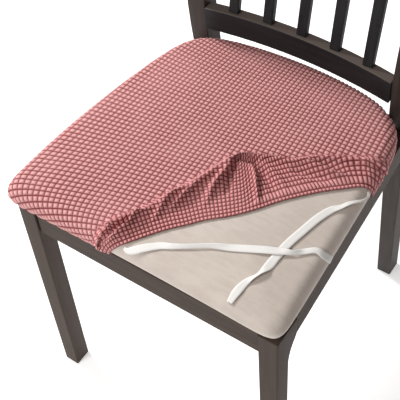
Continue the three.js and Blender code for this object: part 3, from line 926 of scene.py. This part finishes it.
@dataclass
class KnitGrid:
    """How the knit's cells lie over the laid-out top, in cells along and across."""

    # one column's and one row's width in the middle of the pad
    wide: float = 7.3
    long: float = 6.9
    # the columns open toward the sides and the front, and lean
    side_open: float = 0.013
    front_open: float = 0.04
    lean: float = 0.03
    # the rows climb to the left, close to the right and open again toward both sides
    climb: float = 0.14
    level: float = 0.01
    close: float = 0.03
    row_open: float = 0.03
    # how far the columns are pulled to the right where the front edge is tucked in, from where and
    # how softly
    drag: float = 0.5
    drag_from: float = -185
    drag_soft: float = 8

    def cells(self, a: Values, b: Values) -> tuple[Values, Values]:
        """Cells along and across, whose drift is told in hundreds of millimetres.

        Args:
            a: how far to the right.
            b: how far back.

        Returns:
            How many cells along and how many across.
        """
        x, y = a / 100, b / 100
        tucked = self.drag_soft * np.logaddexp(0, (self.drag_from - b) / self.drag_soft)
        u = a * (1 - self.side_open * x * x + self.front_open * y) + self.lean * b - self.drag * tucked
        v = b * (1 + self.close * x - self.row_open * x * x) - a * (self.climb - self.level * x * x)
        return u / self.wide, v / self.long

    def places(self, u: Values, v: Values) -> tuple[Values, Values]:
        """Laid-out places of cells, found by Newton's steps.

        Args:
            u: how many cells along.
            v: how many cells across.

        Returns:
            How far to the right, and how far back.
        """
        a, b = u * self.wide, v * self.long
        for _ in range(9):
            u0, v0 = self.cells(a, b)
            ua, va = self.cells(a + 0.5, b)
            ub, vb = self.cells(a, b + 0.5)
            uu, uv, vu, vv = (ua - u0) * 2, (ub - u0) * 2, (va - v0) * 2, (vb - v0) * 2
            det = uu * vv - uv * vu
            du, dv = u - u0, v - v0
            a, b = a + (vv * du - uv * dv) / det, b + (uu * dv - vu * du) / det
        return a, b


def inside(loop: Values, a: Values, b: Values) -> Values:
    """Which places lie inside a closed loop.

    Args:
        loop: its corners.
        a: the places' first coordinate.
        b: their second coordinate.

    Returns:
        Whether each is inside.
    """
    result = np.zeros(a.shape, bool)
    for (x0, y0), (x1, y1) in zip(loop, np.roll(loop, -1, axis=0)):
        if y0 == y1:
            continue
        crosses = (y0 > b) != (y1 > b)
        result ^= crosses & (a < x0 + (b - y0) * (x1 - x0) / (y1 - y0))
    return result


# ---------------------------------------------------------------- mesh helpers
@dataclass(frozen=True)
class Site:
    """Where the chair's own plan lies in the shared frame."""

    shift: tuple[float, float, float]

    def metres(self, points: Values) -> Values:
        """Points of the plan, in metres in the shared frame."""
        return (np.asarray(points, float) + self.shift) * MM


def linked(name: str, data: bpy.types.ID) -> bpy.types.Object:
    """A new object in the scene.

    Args:
        name: its name.
        data: the mesh, lamp or camera that it shows.

    Returns:
        The object.
    """
    thing = bpy.data.objects.new(name, data)
    bpy.context.scene.collection.objects.link(thing)
    return thing


def mesh_object(name: str, points: Values, faces: list, soft: bool = True) -> bpy.types.Object:
    """A mesh object from points in metres.

    Args:
        name: the piece's name.
        points: its vertices.
        faces: its faces as vertex indices.
        soft: whether it is shaded smooth.

    Returns:
        The object, linked to the scene.
    """
    mesh = bpy.data.meshes.new(name)
    mesh.from_pydata([tuple(p) for p in points], [], faces)
    mesh.validate()
    if soft:
        mesh.shade_smooth()
    return linked(name, mesh)


def add_map(thing: bpy.types.Object, name: str, spots: Values) -> None:
    """Adds a UV map, given for each corner of each face."""
    layer = thing.data.uv_layers.new(name=name)
    layer.data.foreach_set("uv", np.asarray(spots, np.float32).ravel())


def corner_vertices(thing: bpy.types.Object) -> Values:
    """The vertex of each corner of each face.

    Args:
        thing: the mesh object.

    Returns:
        The vertices' indices.
    """
    order = np.zeros(len(thing.data.loops), np.int32)
    thing.data.loops.foreach_get("vertex_index", order)
    return order


def dress(thing: bpy.types.Object, material: bpy.types.Material, slot: str, *nodes: str) -> None:
    """Gives a piece its finish and its place in the frame.

    Args:
        thing: the piece.
        material: its finish.
        slot: the slot that the finish fills; not used.
        nodes: the solids that the piece replaces.
    """
    thing.data.materials.clear()
    thing.data.materials.append(material)
    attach(thing, "root")
    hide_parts(*nodes)


# ---------------------------------------------------------------- the studio
@dataclass
class Studio:
    """The floor, the lights and the camera round the chair."""

    site: Site
    azimuth: float = 38.2
    elevation: float = 51.1
    roll: float = -5.1
    eye: tuple[float, float, float] = (537.3, -748.1, 1505.0)
    lens: float = 88.73
    floor_half: float = 14.0
    floor_glow: float = 0.45
    # each lamp's name, place, aim, side and power
    lamps: tuple = (
        ("key", (-2.8, 0.3, 2.7), (0, 0, 0.45), 0.9, 126),
        ("fill", (-0.9, -2.5, 2.6), (0, 0, 0.4), 1.2, 58))
    room: tuple = (1, 0.94, 0.92, 1)
    room_power: float = 0.26

    def camera(self) -> bpy.types.Object:
        """Sets the camera up at its viewing angle.

        Returns:
            The camera.
        """
        az, el, roll = (math.radians(v) for v in (self.azimuth, self.elevation, self.roll))
        back = Vector((math.sin(az) * math.cos(el), -math.cos(az) * math.cos(el), math.sin(el)))
        level = Vector((math.cos(az), math.sin(az), 0))
        rise = back.cross(level)
        right = level * math.cos(roll) + rise * math.sin(roll)
        up = rise * math.cos(roll) - level * math.sin(roll)
        data = bpy.data.cameras.new("camera")
        data.lens = self.lens
        data.sensor_width = 36
        data.clip_end = 50
        camera = linked("camera", data)
        turn = Matrix((right, up, back)).transposed().to_4x4()
        camera.matrix_world = Matrix.Translation(Vector(self.site.metres(self.eye))) @ turn
        bpy.context.scene.camera = camera
        return camera

    def floor(self) -> bpy.types.Object:
        """A plain pale floor.

        Returns:
            The floor.
        """
        half = self.floor_half
        corners = [(-half, -half, 0), (half, -half, 0), (half, half, 0), (-half, half, 0)]
        floor = mesh_object("studio_floor", np.array(corners, float), [(0, 1, 2, 3)], soft=False)
        shader = Shader("floor_paint")
        clouds = shader.noise(shader.place(), 1.2, 2.0)
        colour = shader.mix(clouds, (0.93, 0.93, 0.93, 1), (0.95, 0.95, 0.95, 1))
        floor.data.materials.append(shader.surface(Base_Color=colour, Roughness=0.9,
                                                   Emission_Color=(1.0, 1.0, 1.0, 1.0),
                                                   Emission_Strength=self.floor_glow))
        return floor

    def lamp(self, name: str, place: tuple, aim: tuple, size: float, power: float) -> None:
        """Sets up a soft square lamp.

        Args:
            name: its name.
            place: where it stands, in metres.
            aim: the point that it shines at.
            size: the length of its sides.
            power: how strong it is, in watts.
        """
        data = bpy.data.lights.new(name, "AREA")
        data.size = size
        data.energy = power
        lamp = linked(name, data)
        lamp.location = place
        lamp.rotation_euler = (Vector(place) - Vector(aim)).to_track_quat("Z", "Y").to_euler()

    def light(self) -> None:
        """Soft light from the left and above, and a bright room round it."""
        for lamp in self.lamps:
            self.lamp(*lamp)
        world = bpy.data.worlds.new("room")
        bpy.context.scene.world = world
        world.use_nodes = True
        backdrop = world.node_tree.nodes["Background"]
        backdrop.inputs["Color"].default_value = self.room
        backdrop.inputs["Strength"].default_value = self.room_power
        bpy.context.scene.view_settings.view_transform = "Standard"

    def build(self) -> None:
        """Sets the whole studio up."""
        self.floor()
        self.light()


# ---------------------------------------------------------------- the ties
@dataclass
class Tie:
    """A white tape that lies loose on the bare pad, with a cut free end."""

    name: str
    rows: tuple
    pad: PadShape
    site: Site
    # its thickness, how far it lies off the pad, and its steps along
    thick: float = 1.0
    off: float = 1.1
    steps: int = 150
    # how much of the bake's map it takes
    map_long: float = 0.98
    map_high: float = 0.08

    def build(self) -> bpy.types.Object:
        """Returns:
            The tape.
        """
        line = smooth_line(self.rows, self.steps)
        left = left_of(line)
        rise = np.sin(np.radians(line[:, 4])) * line[:, 3] * 0.5
        # round the section: how far across, and how far up, from the under side
        section = [(-0.94, 0), (-0.5, 0), (0, 0), (0.5, 0), (0.94, 0), (1, 0.5),
                   (0.94, 1), (0.5, 1), (0, 1), (-0.5, 1), (-0.94, 1), (-1, 0.5)]
        rings = []
        for m, up in section:
            a = line[:, 0] + left[:, 0] * m * line[:, 3] / 2
            b = line[:, 1] + left[:, 1] * m * line[:, 3] / 2
            lift = self.off + line[:, 2] + (m + 1) * rise + up * self.thick
            rings.append(self.pad.off(a, b, lift))
        points = np.stack(rings, 1)
        n = len(section)
        count = len(line)
        faces = [(n * i + j, n * i + (j + 1) % n, n * i + n + (j + 1) % n, n * i + n + j)
                 for i in range(count - 1) for j in range(n)]
        faces += [tuple(range(n - 1, -1, -1)), tuple(n * (count - 1) + j for j in range(n))]
        tape = mesh_object(f"{self.name}_tape", self.site.metres(points.reshape(-1, 3)), faces)
        path = self.pad.off(line[:, 0], line[:, 1], self.off + line[:, 2] + rise + self.thick / 2)
        travel = travelled(path)
        order = corner_vertices(tape)
        spots = np.stack([travel[order // n] / travel[-1] * self.map_long,
                          (order % n) / n * self.map_high], 1)
        add_map(tape, "OFBake", spots)
        dress(tape, Tape().material(), "tape", self.name)
        route = self.site.metres(path)
        LOG.info("%s: %.0f mm of tape", self.name, travel[-1])
        return tape


# points of each tie on the laid-out pad: how far right and back, how high it is lifted, its width, and
# how many degrees it is turned on edge
TIE_ROWS = {
    "tie_front": (
        (-23, -206.5, 0.3, 4, 0), (-16, -207, 0.5, 8, 0), (-7, -202, 0.6, 11, 0), (5, -192, 0.3, 12, 0),
        (19, -181, 0, 11, 0), (33, -175, 0, 8, 20),
        (50, -166, 0.5, 6, 35), (76, -150, 0.5, 6, 35), (99, -138, 0, 11, 0), (123, -126, 0, 12, 0),
        (141, -117, 1.4, 12, 0), (157, -109, 2, 11, 0), (172, -102, 1, 6, 35), (182, -91, 0.3, 9, 0),
        (194, -81, 0.5, 8, 15), (206, -79, 0, 12, 0), (220, -75, 0, 12, 0)),
    "tie_side": (
        (203, 47, 0.3, 2.5, 40), (207, 42, 0.3, 2.5, 40), (205, 33, 0.3, 3, 40), (199, 22, 0.3, 4, 35),
        (192, 10, 0.2, 6, 30), (186, -2, 0, 8, 15),
        (178, -13, 0, 11, 0), (170, -36, 0, 12, 0), (164, -65, 0, 12, 0), (159, -92, 0, 12, 0),
        (157, -118, 0, 12, 0), (156, -137, 0, 12, 0), (152, -154, 0.8, 5, 35), (145, -169, 0, 9, 0),
        (142, -186, 0, 12, 0), (142, -204, 0, 8, 0)),
}


# ---------------------------------------------------------------- the pad
@dataclass
class SeatPad:
    """The upholstered pad, bare at one front corner."""

    pad: PadShape
    site: Site
    # points round the pad, and rings over and under its widest outline
    around: int = 280
    over: int = 44
    under: int = 12

    def build(self) -> bpy.types.Object:
        """Returns:
            The pad.
        """
        pad = self.pad
        top = np.sin(np.linspace(0, math.pi / 2, self.over + 1)[1:]) * pad.share_at(math.pi / 2)
        low = [pad.share_at(math.radians(d)) for d in np.linspace(90, 180, self.under + 1)[1:]]
        shares = np.concatenate([top, low])
        q = np.arange(self.around) * 4 / self.around
        rings = [pad.on(*pad.edge_place(q, share)) for share in shares]
        centre = np.array(pad.from_square(0.0, 0.0))
        crown = pad.on(centre[:1], centre[1:])
        base = np.array([[centre[0], centre[1], pad.widest_z - pad.roll_down]])
        points = np.concatenate([crown, *rings, base])
        n, last = self.around, len(shares) - 1
        faces = [(0, 1 + j, 1 + (j + 1) % n) for j in range(n)]
        for i in range(last):
            a, b = 1 + i * n, 1 + (i + 1) * n
            faces += [(a + j, b + j, b + (j + 1) % n, a + (j + 1) % n) for j in range(n)]
        end = len(points) - 1
        faces += [(end, 1 + last * n + (j + 1) % n, 1 + last * n + j) for j in range(n)]
        cushion = mesh_object("seat_cushion", self.site.metres(points), faces)
        dress(cushion, Suede().material(), "pad", "seat_pad")
        LOG.info("seat pad: %d faces", len(faces))
        return cushion


# ---------------------------------------------------------------- the cover
class Region(Enum):
    """Which part of the cloth a point lies on."""

    TOP = 0
    BAND = 1
    FOOT = 2


@dataclass
class Layer:
    """One side of the cloth: its places, its triangles and its cells."""

    places: Values
    faces: Values
    # how many of the places, the first ones, make its rim
    rim: int
    # the part that each place lies on, its cells on the top, and its cells on the band where it has any
    kind: Values
    top: Values
    band: Values
    # which triangles lie on the band
    in_band: Values


@dataclass
class SeatCover:
    """The stretch waffle cover: its cells, its folds and its hem, all one cloth."""

    pad: PadShape
    site: Site
    # the cloth's thickness, how many times that it may measure straight down where it is steep, and
    # how far it lies off the pad
    thick: float = 1.8
    thick_most: float = 2.4
    off: float = 1.55
    # how high a cell stands over its lines, the share of it that lies under the cloth's own level,
    # and how square it is
    relief: float = 1.7
    sunk: float = 0.7
    square: float = 3
    # the folded band's cells: a column's width at the hem, and the rows' heights in front, at the
    # right, next to the hem, and where ribs draw the second row out
    column: float = 5.2
    row: float = 5.9
    right_row: float = 7.4
    hem_row: float = 5.2
    rib: float = 13.0
    most_rows: int = 40
    # the ribs begin at this share of the columns, and grow from a little before it to a little after
    rib_from: float = 0.53
    rib_before: float = 0.03
    rib_after: float = 0.05
    # where in each cell a line of points lies
    phases: tuple = (0.0, 0.19, 0.5, 0.81)
    # every how many of these lines the lining keeps
    lining_every: int = 4
    # points round the tucked-in edge
    outside: int = 420
    # how far points keep from the edge of the cloth, in shares of the pad, on the top and at the
    # fold's foot, and from the fold's foot, in millimetres, on the top and on the band
    edge_room: float = 0.006
    foot_edge_room: float = 0.01
    top_room: float = 1.1
    band_room: float = 1.2
    # how far from the middle the top's grid is laid out, and kept to the sides and front and back
    grid_reach: float = 300
    keep_wide: float = 280
    keep_deep: float = 270
    # how much of the bake's map the outer side and the lining take, and where they start in it
    outer_part: tuple = (0.81, 0.005, 0.005)
    lining_part: tuple = (0.17, 0.825, 0.0)
    # the folds, the lines across them, the places along every line, how far the cloth has travelled
    # at each, and whether a line lies in the band's right part
    lines: ClothLines = field(init=False)
    rulings: Rulings = field(init=False)
    steps: Values = field(init=False)
    arc: Values = field(init=False)
    right_share: Values = field(init=False)

    def __post_init__(self) -> None:
        """Lays out the folds, and measures how far the cloth travels along every line across them."""
        self.lines = ClothLines(self.pad)
        self.rulings = self.lines.rulings(self.column, self.phases)
        cells = self.rulings.cells
        self.steps = np.concatenate([np.linspace(0, 1, 61), np.linspace(1, 2, 25)[1:]])
        places = self.rulings.along(np.broadcast_to(self.steps, (len(cells), len(self.steps))))
        self.arc = travelled(self._level(places[..., 0], places[..., 1]))
        # 0 along the band's front part, 1 along its right part, where the cloth is drawn out to ribs
        self.right_share = smooth(cells, (self.rib_from - self.rib_before) * cells[-1],
                                  (self.rib_from + self.rib_after) * cells[-1])

    def build(self) -> bpy.types.Object:
        """Returns:
            The cover.
        """
        outer = self._layer(self.phases, 1)
        inner = self._layer(self.phases[:1], self.lining_every)
        LOG.info("cover: %d faces outside, %d inside", len(outer.faces), len(inner.faces))
        start, rim = len(outer.places), outer.rim
        faces = np.concatenate([outer.faces, inner.faces[:, ::-1] + start]).tolist()
        faces += [(start + i, start + (i + 1) % rim, (i + 1) % rim, i) for i in range(rim)]
        points = np.concatenate([self._raised(outer), self._lining(inner)])
        cover = mesh_object("waffle_cover", self.site.metres(points), faces)
        self._maps(cover, outer, inner)
        dress(cover, Waffle().material(), "cover", "seat_cover")
        return cover

    def _level(self, a: Values, b: Values) -> Values:
        """Points of the cloth's outer side, without its cells."""
        return self.pad.off(a, b, self.off + self.thick + self.lines.height(a, b))

    def _layer(self, phases: tuple, every: int) -> Layer:
        """Cuts one side of the cloth into triangles that follow its cells.

        Args:
            phases: where in each cell of the top a point lies.
            every: which of the band's lines and rows are kept.

        Returns:
            The layer, whose first points are its rim.
        """
        rulings, knit = self.rulings, KnitGrid()
        foot_cells = self._foot_cells()
        rim, rim_cells = self._rim(foot_cells)
        keep = np.flatnonzero(self.pad.share_of(*rulings.foot.T) < self.lines.hem_share - self.foot_edge_room)
        keep = keep[(keep % every == 0) & (keep > 0) & (keep < len(rulings.foot) - 1)]
        band, band_cells = self._band(every)
        loop = np.concatenate([rulings.hem, rulings.foot[::-1]])
        top = self._top(knit, phases, loop)
        places = np.concatenate([rim, rulings.foot[keep], band, top])
        known = np.concatenate([rim_cells, foot_cells[keep], band_cells, np.full(top.shape, np.nan)])
        first, second = len(rim), len(rim) + len(keep)
        edges = [(i, (i + 1) % first) for i in range(first)]
        # the fold's foot, whose front and right ends lie in the rim
        foot = [self.outside, *range(first, second), self.outside + 1 + len(rulings.hem)]
        edges += zip(foot[:-1], foot[1:])
        found = delaunay_2d_cdt([Vector(p) for p in places], edges, [], 1, 1e-5)
        if any(origin != [i] for i, origin in enumerate(found[3])):
            LOG.warning("the cloth's points changed: %d from %d", len(found[0]), len(places))
        kind = np.where(np.isnan(known[:, 0]), Region.TOP.value, Region.BAND.value)
        kind[first:second] = Region.FOOT.value
        faces = np.array(found[2])
        return Layer(places, faces, first, kind, np.stack(knit.cells(*places.T), 1), known,
                     inside(loop, *places[faces].mean(axis=1).T))

    def _top(self, knit: KnitGrid, phases: tuple, loop: Values) -> Values:
        """Points of the cloth that lies flat, in lines with its cells.

        Args:
            knit: the grid of cells.
            phases: where in each cell a point lies.
            loop: the outline of the folded band, which they stay out of.

        Returns:
            The places.
        """
        reach = int(self.grid_reach / knit.long)
        ticks = (np.arange(-reach, reach)[:, None] + np.array(phases)).ravel()
        a, b = knit.places(*(grid.ravel() for grid in np.meshgrid(ticks, ticks)))
        near = (abs(a) < self.keep_wide) & (abs(b) < self.keep_deep)
        a, b = a[near], b[near]
        held = (self.pad.share_of(a, b) < self.lines.hem_share - self.edge_room) & ~inside(loop, a, b)
        a, b = a[held], b[held]
        border = np.concatenate([self.rulings.foot, self.rulings.hem[::-1]])
        away = nearest(border, a, b)[0] > self.top_room
        return np.stack([a, b], 1)[away]

    def _rim(self, foot_cells: Values) -> tuple[Values, Values]:
        """The cloth's edge, round the tucked-in part and back along the hem across the pad.

        Args:
            foot_cells: the band's cells at the foot of the main fold.

        Returns:
            The places, and the band's cells where they lie on it.
        """
        hem, foot = self.rulings.hem, self.rulings.foot
        scan = np.linspace(0, 4, 8001)
        ring = np.stack(self.pad.edge_place(scan, self.lines.hem_share), 1)
        ends = [scan[np.argmin(np.linalg.norm(ring - end, axis=1))] for end in foot[[-1, 0]]]
        q = np.linspace(*ends, self.outside + 2)[1:-1]
        tucked = np.stack(self.pad.edge_place(q, self.lines.hem_share), 1)
        hem_cells = np.stack([self.rulings.cells, self.rulings.cells * 0], 1)
        return (np.concatenate([tucked, foot[:1], hem, foot[-1:]]),
                np.concatenate([np.full(tucked.shape, np.nan), foot_cells[:1], hem_cells, foot_cells[-1:]]))

    def _foot_cells(self) -> Values:
        """The band's cells at the foot of the main fold.

        Returns:
            The cells along and across, a row to each line.
        """
        ticks = np.linspace(0, self.most_rows, 2001)
        rows = [np.interp(end, self._travel(ticks, share), ticks)
                for end, share in zip(self.arc[:, -1], self.right_share)]
        return np.stack([self.rulings.cells, rows], 1)

    def _travel(self, rows: Values, share: float) -> Values:
        """How far up the cloth from the hem rows lie. Ribs draw the second row's middle out.

        Args:
            rows: the rows, as fractions where they lie inside a cell.
            share: 0 in the band's front part and 1 in its right part.

        Returns:
            The distances on the cloth.
        """
        row = self.row + (self.right_row - self.row) * share
        low, high = self.phases[1], self.phases[-1]
        middle = np.clip((rows - 1 - low) / (high - low), 0, 1)
        return (self.hem_row * np.minimum(rows, 1) + row * np.maximum(rows - 1, 0)
                + (self.rib - row) * share * middle)

    def _band(self, every: int) -> tuple[Values, Values]:
        """Points of the folded band, in rows that keep their distance on the cloth.

        Args:
            every: which lines and rows are kept.

        Returns:
            The places and their cells.
        """
        rows = (np.arange(self.most_rows)[:, None] + np.array(self.phases)).ravel()[every::every]
        places, cells = [], []
        for i in range(every, len(self.rulings.cells) - 1, every):
            travel = self._travel(rows, self.right_share[i])
            fits = travel < self.arc[i, -1] - self.band_room
            at = np.interp(travel[fits], self.arc[i], self.steps)
            places.append(self.rulings[i:i + 1].along(at[None])[0])
            cells.append(np.stack([np.full(len(at), self.rulings.cells[i]), rows[fits]], 1))
        return np.concatenate(places), np.concatenate(cells)

    def _raised(self, layer: Layer) -> Values:
        """The outer side's points, with every cell raised along the cloth's own normal.

        Args:
            layer: the outer side.

        Returns:
            The points in the chair's plan.
        """
        base = self._level(*layer.places.T)
        corners = base[layer.faces]
        across = np.cross(corners[:, 1] - corners[:, 0], corners[:, 2] - corners[:, 0])
        normal = np.zeros_like(base)
        for k in range(3):
            np.add.at(normal, layer.faces[:, k], across)
        normal /= np.maximum(np.linalg.norm(normal, axis=1, keepdims=True), 1e-9)
        cells = np.where((layer.kind == Region.BAND.value)[:, None], layer.band, layer.top)
        crown = np.prod(1 - abs(2 * (cells - np.floor(cells)) - 1) ** self.square, axis=1)
        crown[layer.kind == Region.FOOT.value] = 0
        return base + normal * (self.relief * (crown - self.sunk))[:, None]

    def _lining(self, layer: Layer) -> Values:
        """The inner side's points, a thickness below the outer side and never in the pad.

        Args:
            layer: the inner side.

        Returns:
            The points in the chair's plan.
        """
        a, b = layer.places.T
        height, step = self.lines.height, 0.5
        slope = np.hypot(height(a + step, b) - height(a - step, b), height(a, b + step) - height(a, b - step))
        thick = self.thick * np.minimum(np.hypot(1, slope), self.thick_most)
        return self.pad.off(a, b, np.maximum(self.off, self.off + self.thick + height(a, b) - thick))

    def _maps(self, cover: bpy.types.Object, outer: Layer, inner: Layer) -> None:
        """Adds the map for the bake and the map of the knit's cells.

        Args:
            cover: the piece.
            outer: its outer side, whose points and faces come first.
            inner: its lining.
        """
        order = corner_vertices(cover)
        low = outer.places.min(axis=0)
        size = (outer.places.max(axis=0) - low).max()
        spots = (np.concatenate([outer.places, inner.places])[order] - low) / size
        lined = (order >= len(outer.places))[:, None]
        (whole, *corner), (lining, *lining_corner) = self.outer_part, self.lining_part
        add_map(cover, "OFBake", np.where(lined, spots * lining + lining_corner, spots * whole + corner))
        top = np.concatenate([outer.top, inner.top])[order]
        band = np.concatenate([outer.band, inner.band])[order]
        # the corners of the triangles come first, and those of the rim's faces after them
        folded = np.repeat(np.concatenate([outer.in_band, inner.in_band]), 3)
        known = np.append(folded, np.zeros(len(order) - len(folded), bool)) & ~np.isnan(band[:, 0])
        add_map(cover, "Knit", np.where(known[:, None], np.nan_to_num(band) + [0, BAND_ROWS], top))


# ---------------------------------------------------------------- the frame
@dataclass
class WoodFrame:
    """The chair's legs, posts, aprons, rails and slats, with their edges eased."""

    ease: float = 0.0016
    # corners nearer than this are one, and faces that meet flatter than this are one
    same_spot: float = 1e-5
    flat: float = math.radians(1.2)
    # edges that turn more than this are eased, and then those that turn more than this look sharp
    eased_from: float = math.radians(22)
    sharp_from: float = math.radians(25)
    # how far the side aprons' lower and upper edges reach on to the sloping posts
    side_reach: tuple[float, float] = (0.0103, 0.006)
    parts: tuple = (
        (LEGS, Grain.UPRIGHT, ("leg_front_left", "leg_front_right")),
        (LEGS, Grain.ACROSS, ("apron_front", "apron_back")),
        (LEGS, Grain.DEEP, ("apron_left", "apron_right")),
        (POSTS, Grain.UPRIGHT, ("post_back_left", "post_back_right")),
        (BACKREST, Grain.ACROSS, ("rail_lower", "rail_crest")),
        (BACKREST, Grain.UPRIGHT, ("slat_1", "slat_2", "slat_3", "slat_4", "slat_5")),
    )

    def build(self) -> None:
        """Makes every part of the frame."""
        for lacquer, grain, names in self.parts:
            material = lacquer.material(grain)
            for name in names:
                self.part(name, material)

    def part(self, name: str, material: bpy.types.Material) -> bpy.types.Object:
        """One part, whose solid keeps its size and gets eased edges.

        Args:
            name: the solid's name.
            material: its lacquer.

        Returns:
            The finished part.
        """
        shape = bmesh.new()
        shape.from_mesh(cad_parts[name].data)
        bmesh.ops.remove_doubles(shape, verts=shape.verts, dist=self.same_spot)
        if name in ("apron_left", "apron_right"):
            self.lengthen(shape)
        bmesh.ops.dissolve_limit(shape, angle_limit=self.flat, verts=shape.verts, edges=shape.edges)
        turned = [e for e in shape.edges if e.is_manifold and e.calc_face_angle(0) > self.eased_from]
        bmesh.ops.bevel(shape, geom=turned, offset=self.ease, segments=2, profile=0.5, affect="EDGES",
                        clamp_overlap=True)
        mesh = bpy.data.meshes.new(f"{name}_wood")
        shape.to_mesh(mesh)
        shape.free()
        wood = linked(f"{name}_wood", mesh)
        mesh.shade_smooth()
        mesh.set_sharp_from_angle(angle=self.sharp_from)
        dress(wood, material, "frame", name)
        LOG.info("%s: %d faces", name, len(mesh.polygons))
        return wood

    def lengthen(self, shape: bmesh.types.BMesh) -> None:
        """Draws a side apron's rear end back to the sloping face of its post.

        Args:
            shape: the apron, in its own place.
        """
        end = max(vert.co.y for vert in shape.verts)
        middle = sum(vert.co.z for vert in shape.verts) / len(shape.verts)
        lower, upper = self.side_reach
        for vert in shape.verts:
            if vert.co.y > end - MM:
                vert.co.y += upper if vert.co.z > middle else lower


def main() -> None:
    """Builds the studio and the chair, each part in its turn."""
    logging.basicConfig(level=logging.INFO, format="%(message)s", stream=sys.stdout)
    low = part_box("leg_front_left")[0]
    site = Site((low.x / MM + LEG_LEFT, low.y / MM + LEG_FRONT, 0))
    pad = PadShape()
    studio = Studio(site)
    studio.camera()
    for name, rows in TIE_ROWS.items():
        Tie(name, rows, pad, site).build()
    studio.build()
    SeatPad(pad, site).build()
    SeatCover(pad, site).build()
    WoodFrame().build()


if __name__ == "__main__":
    main()
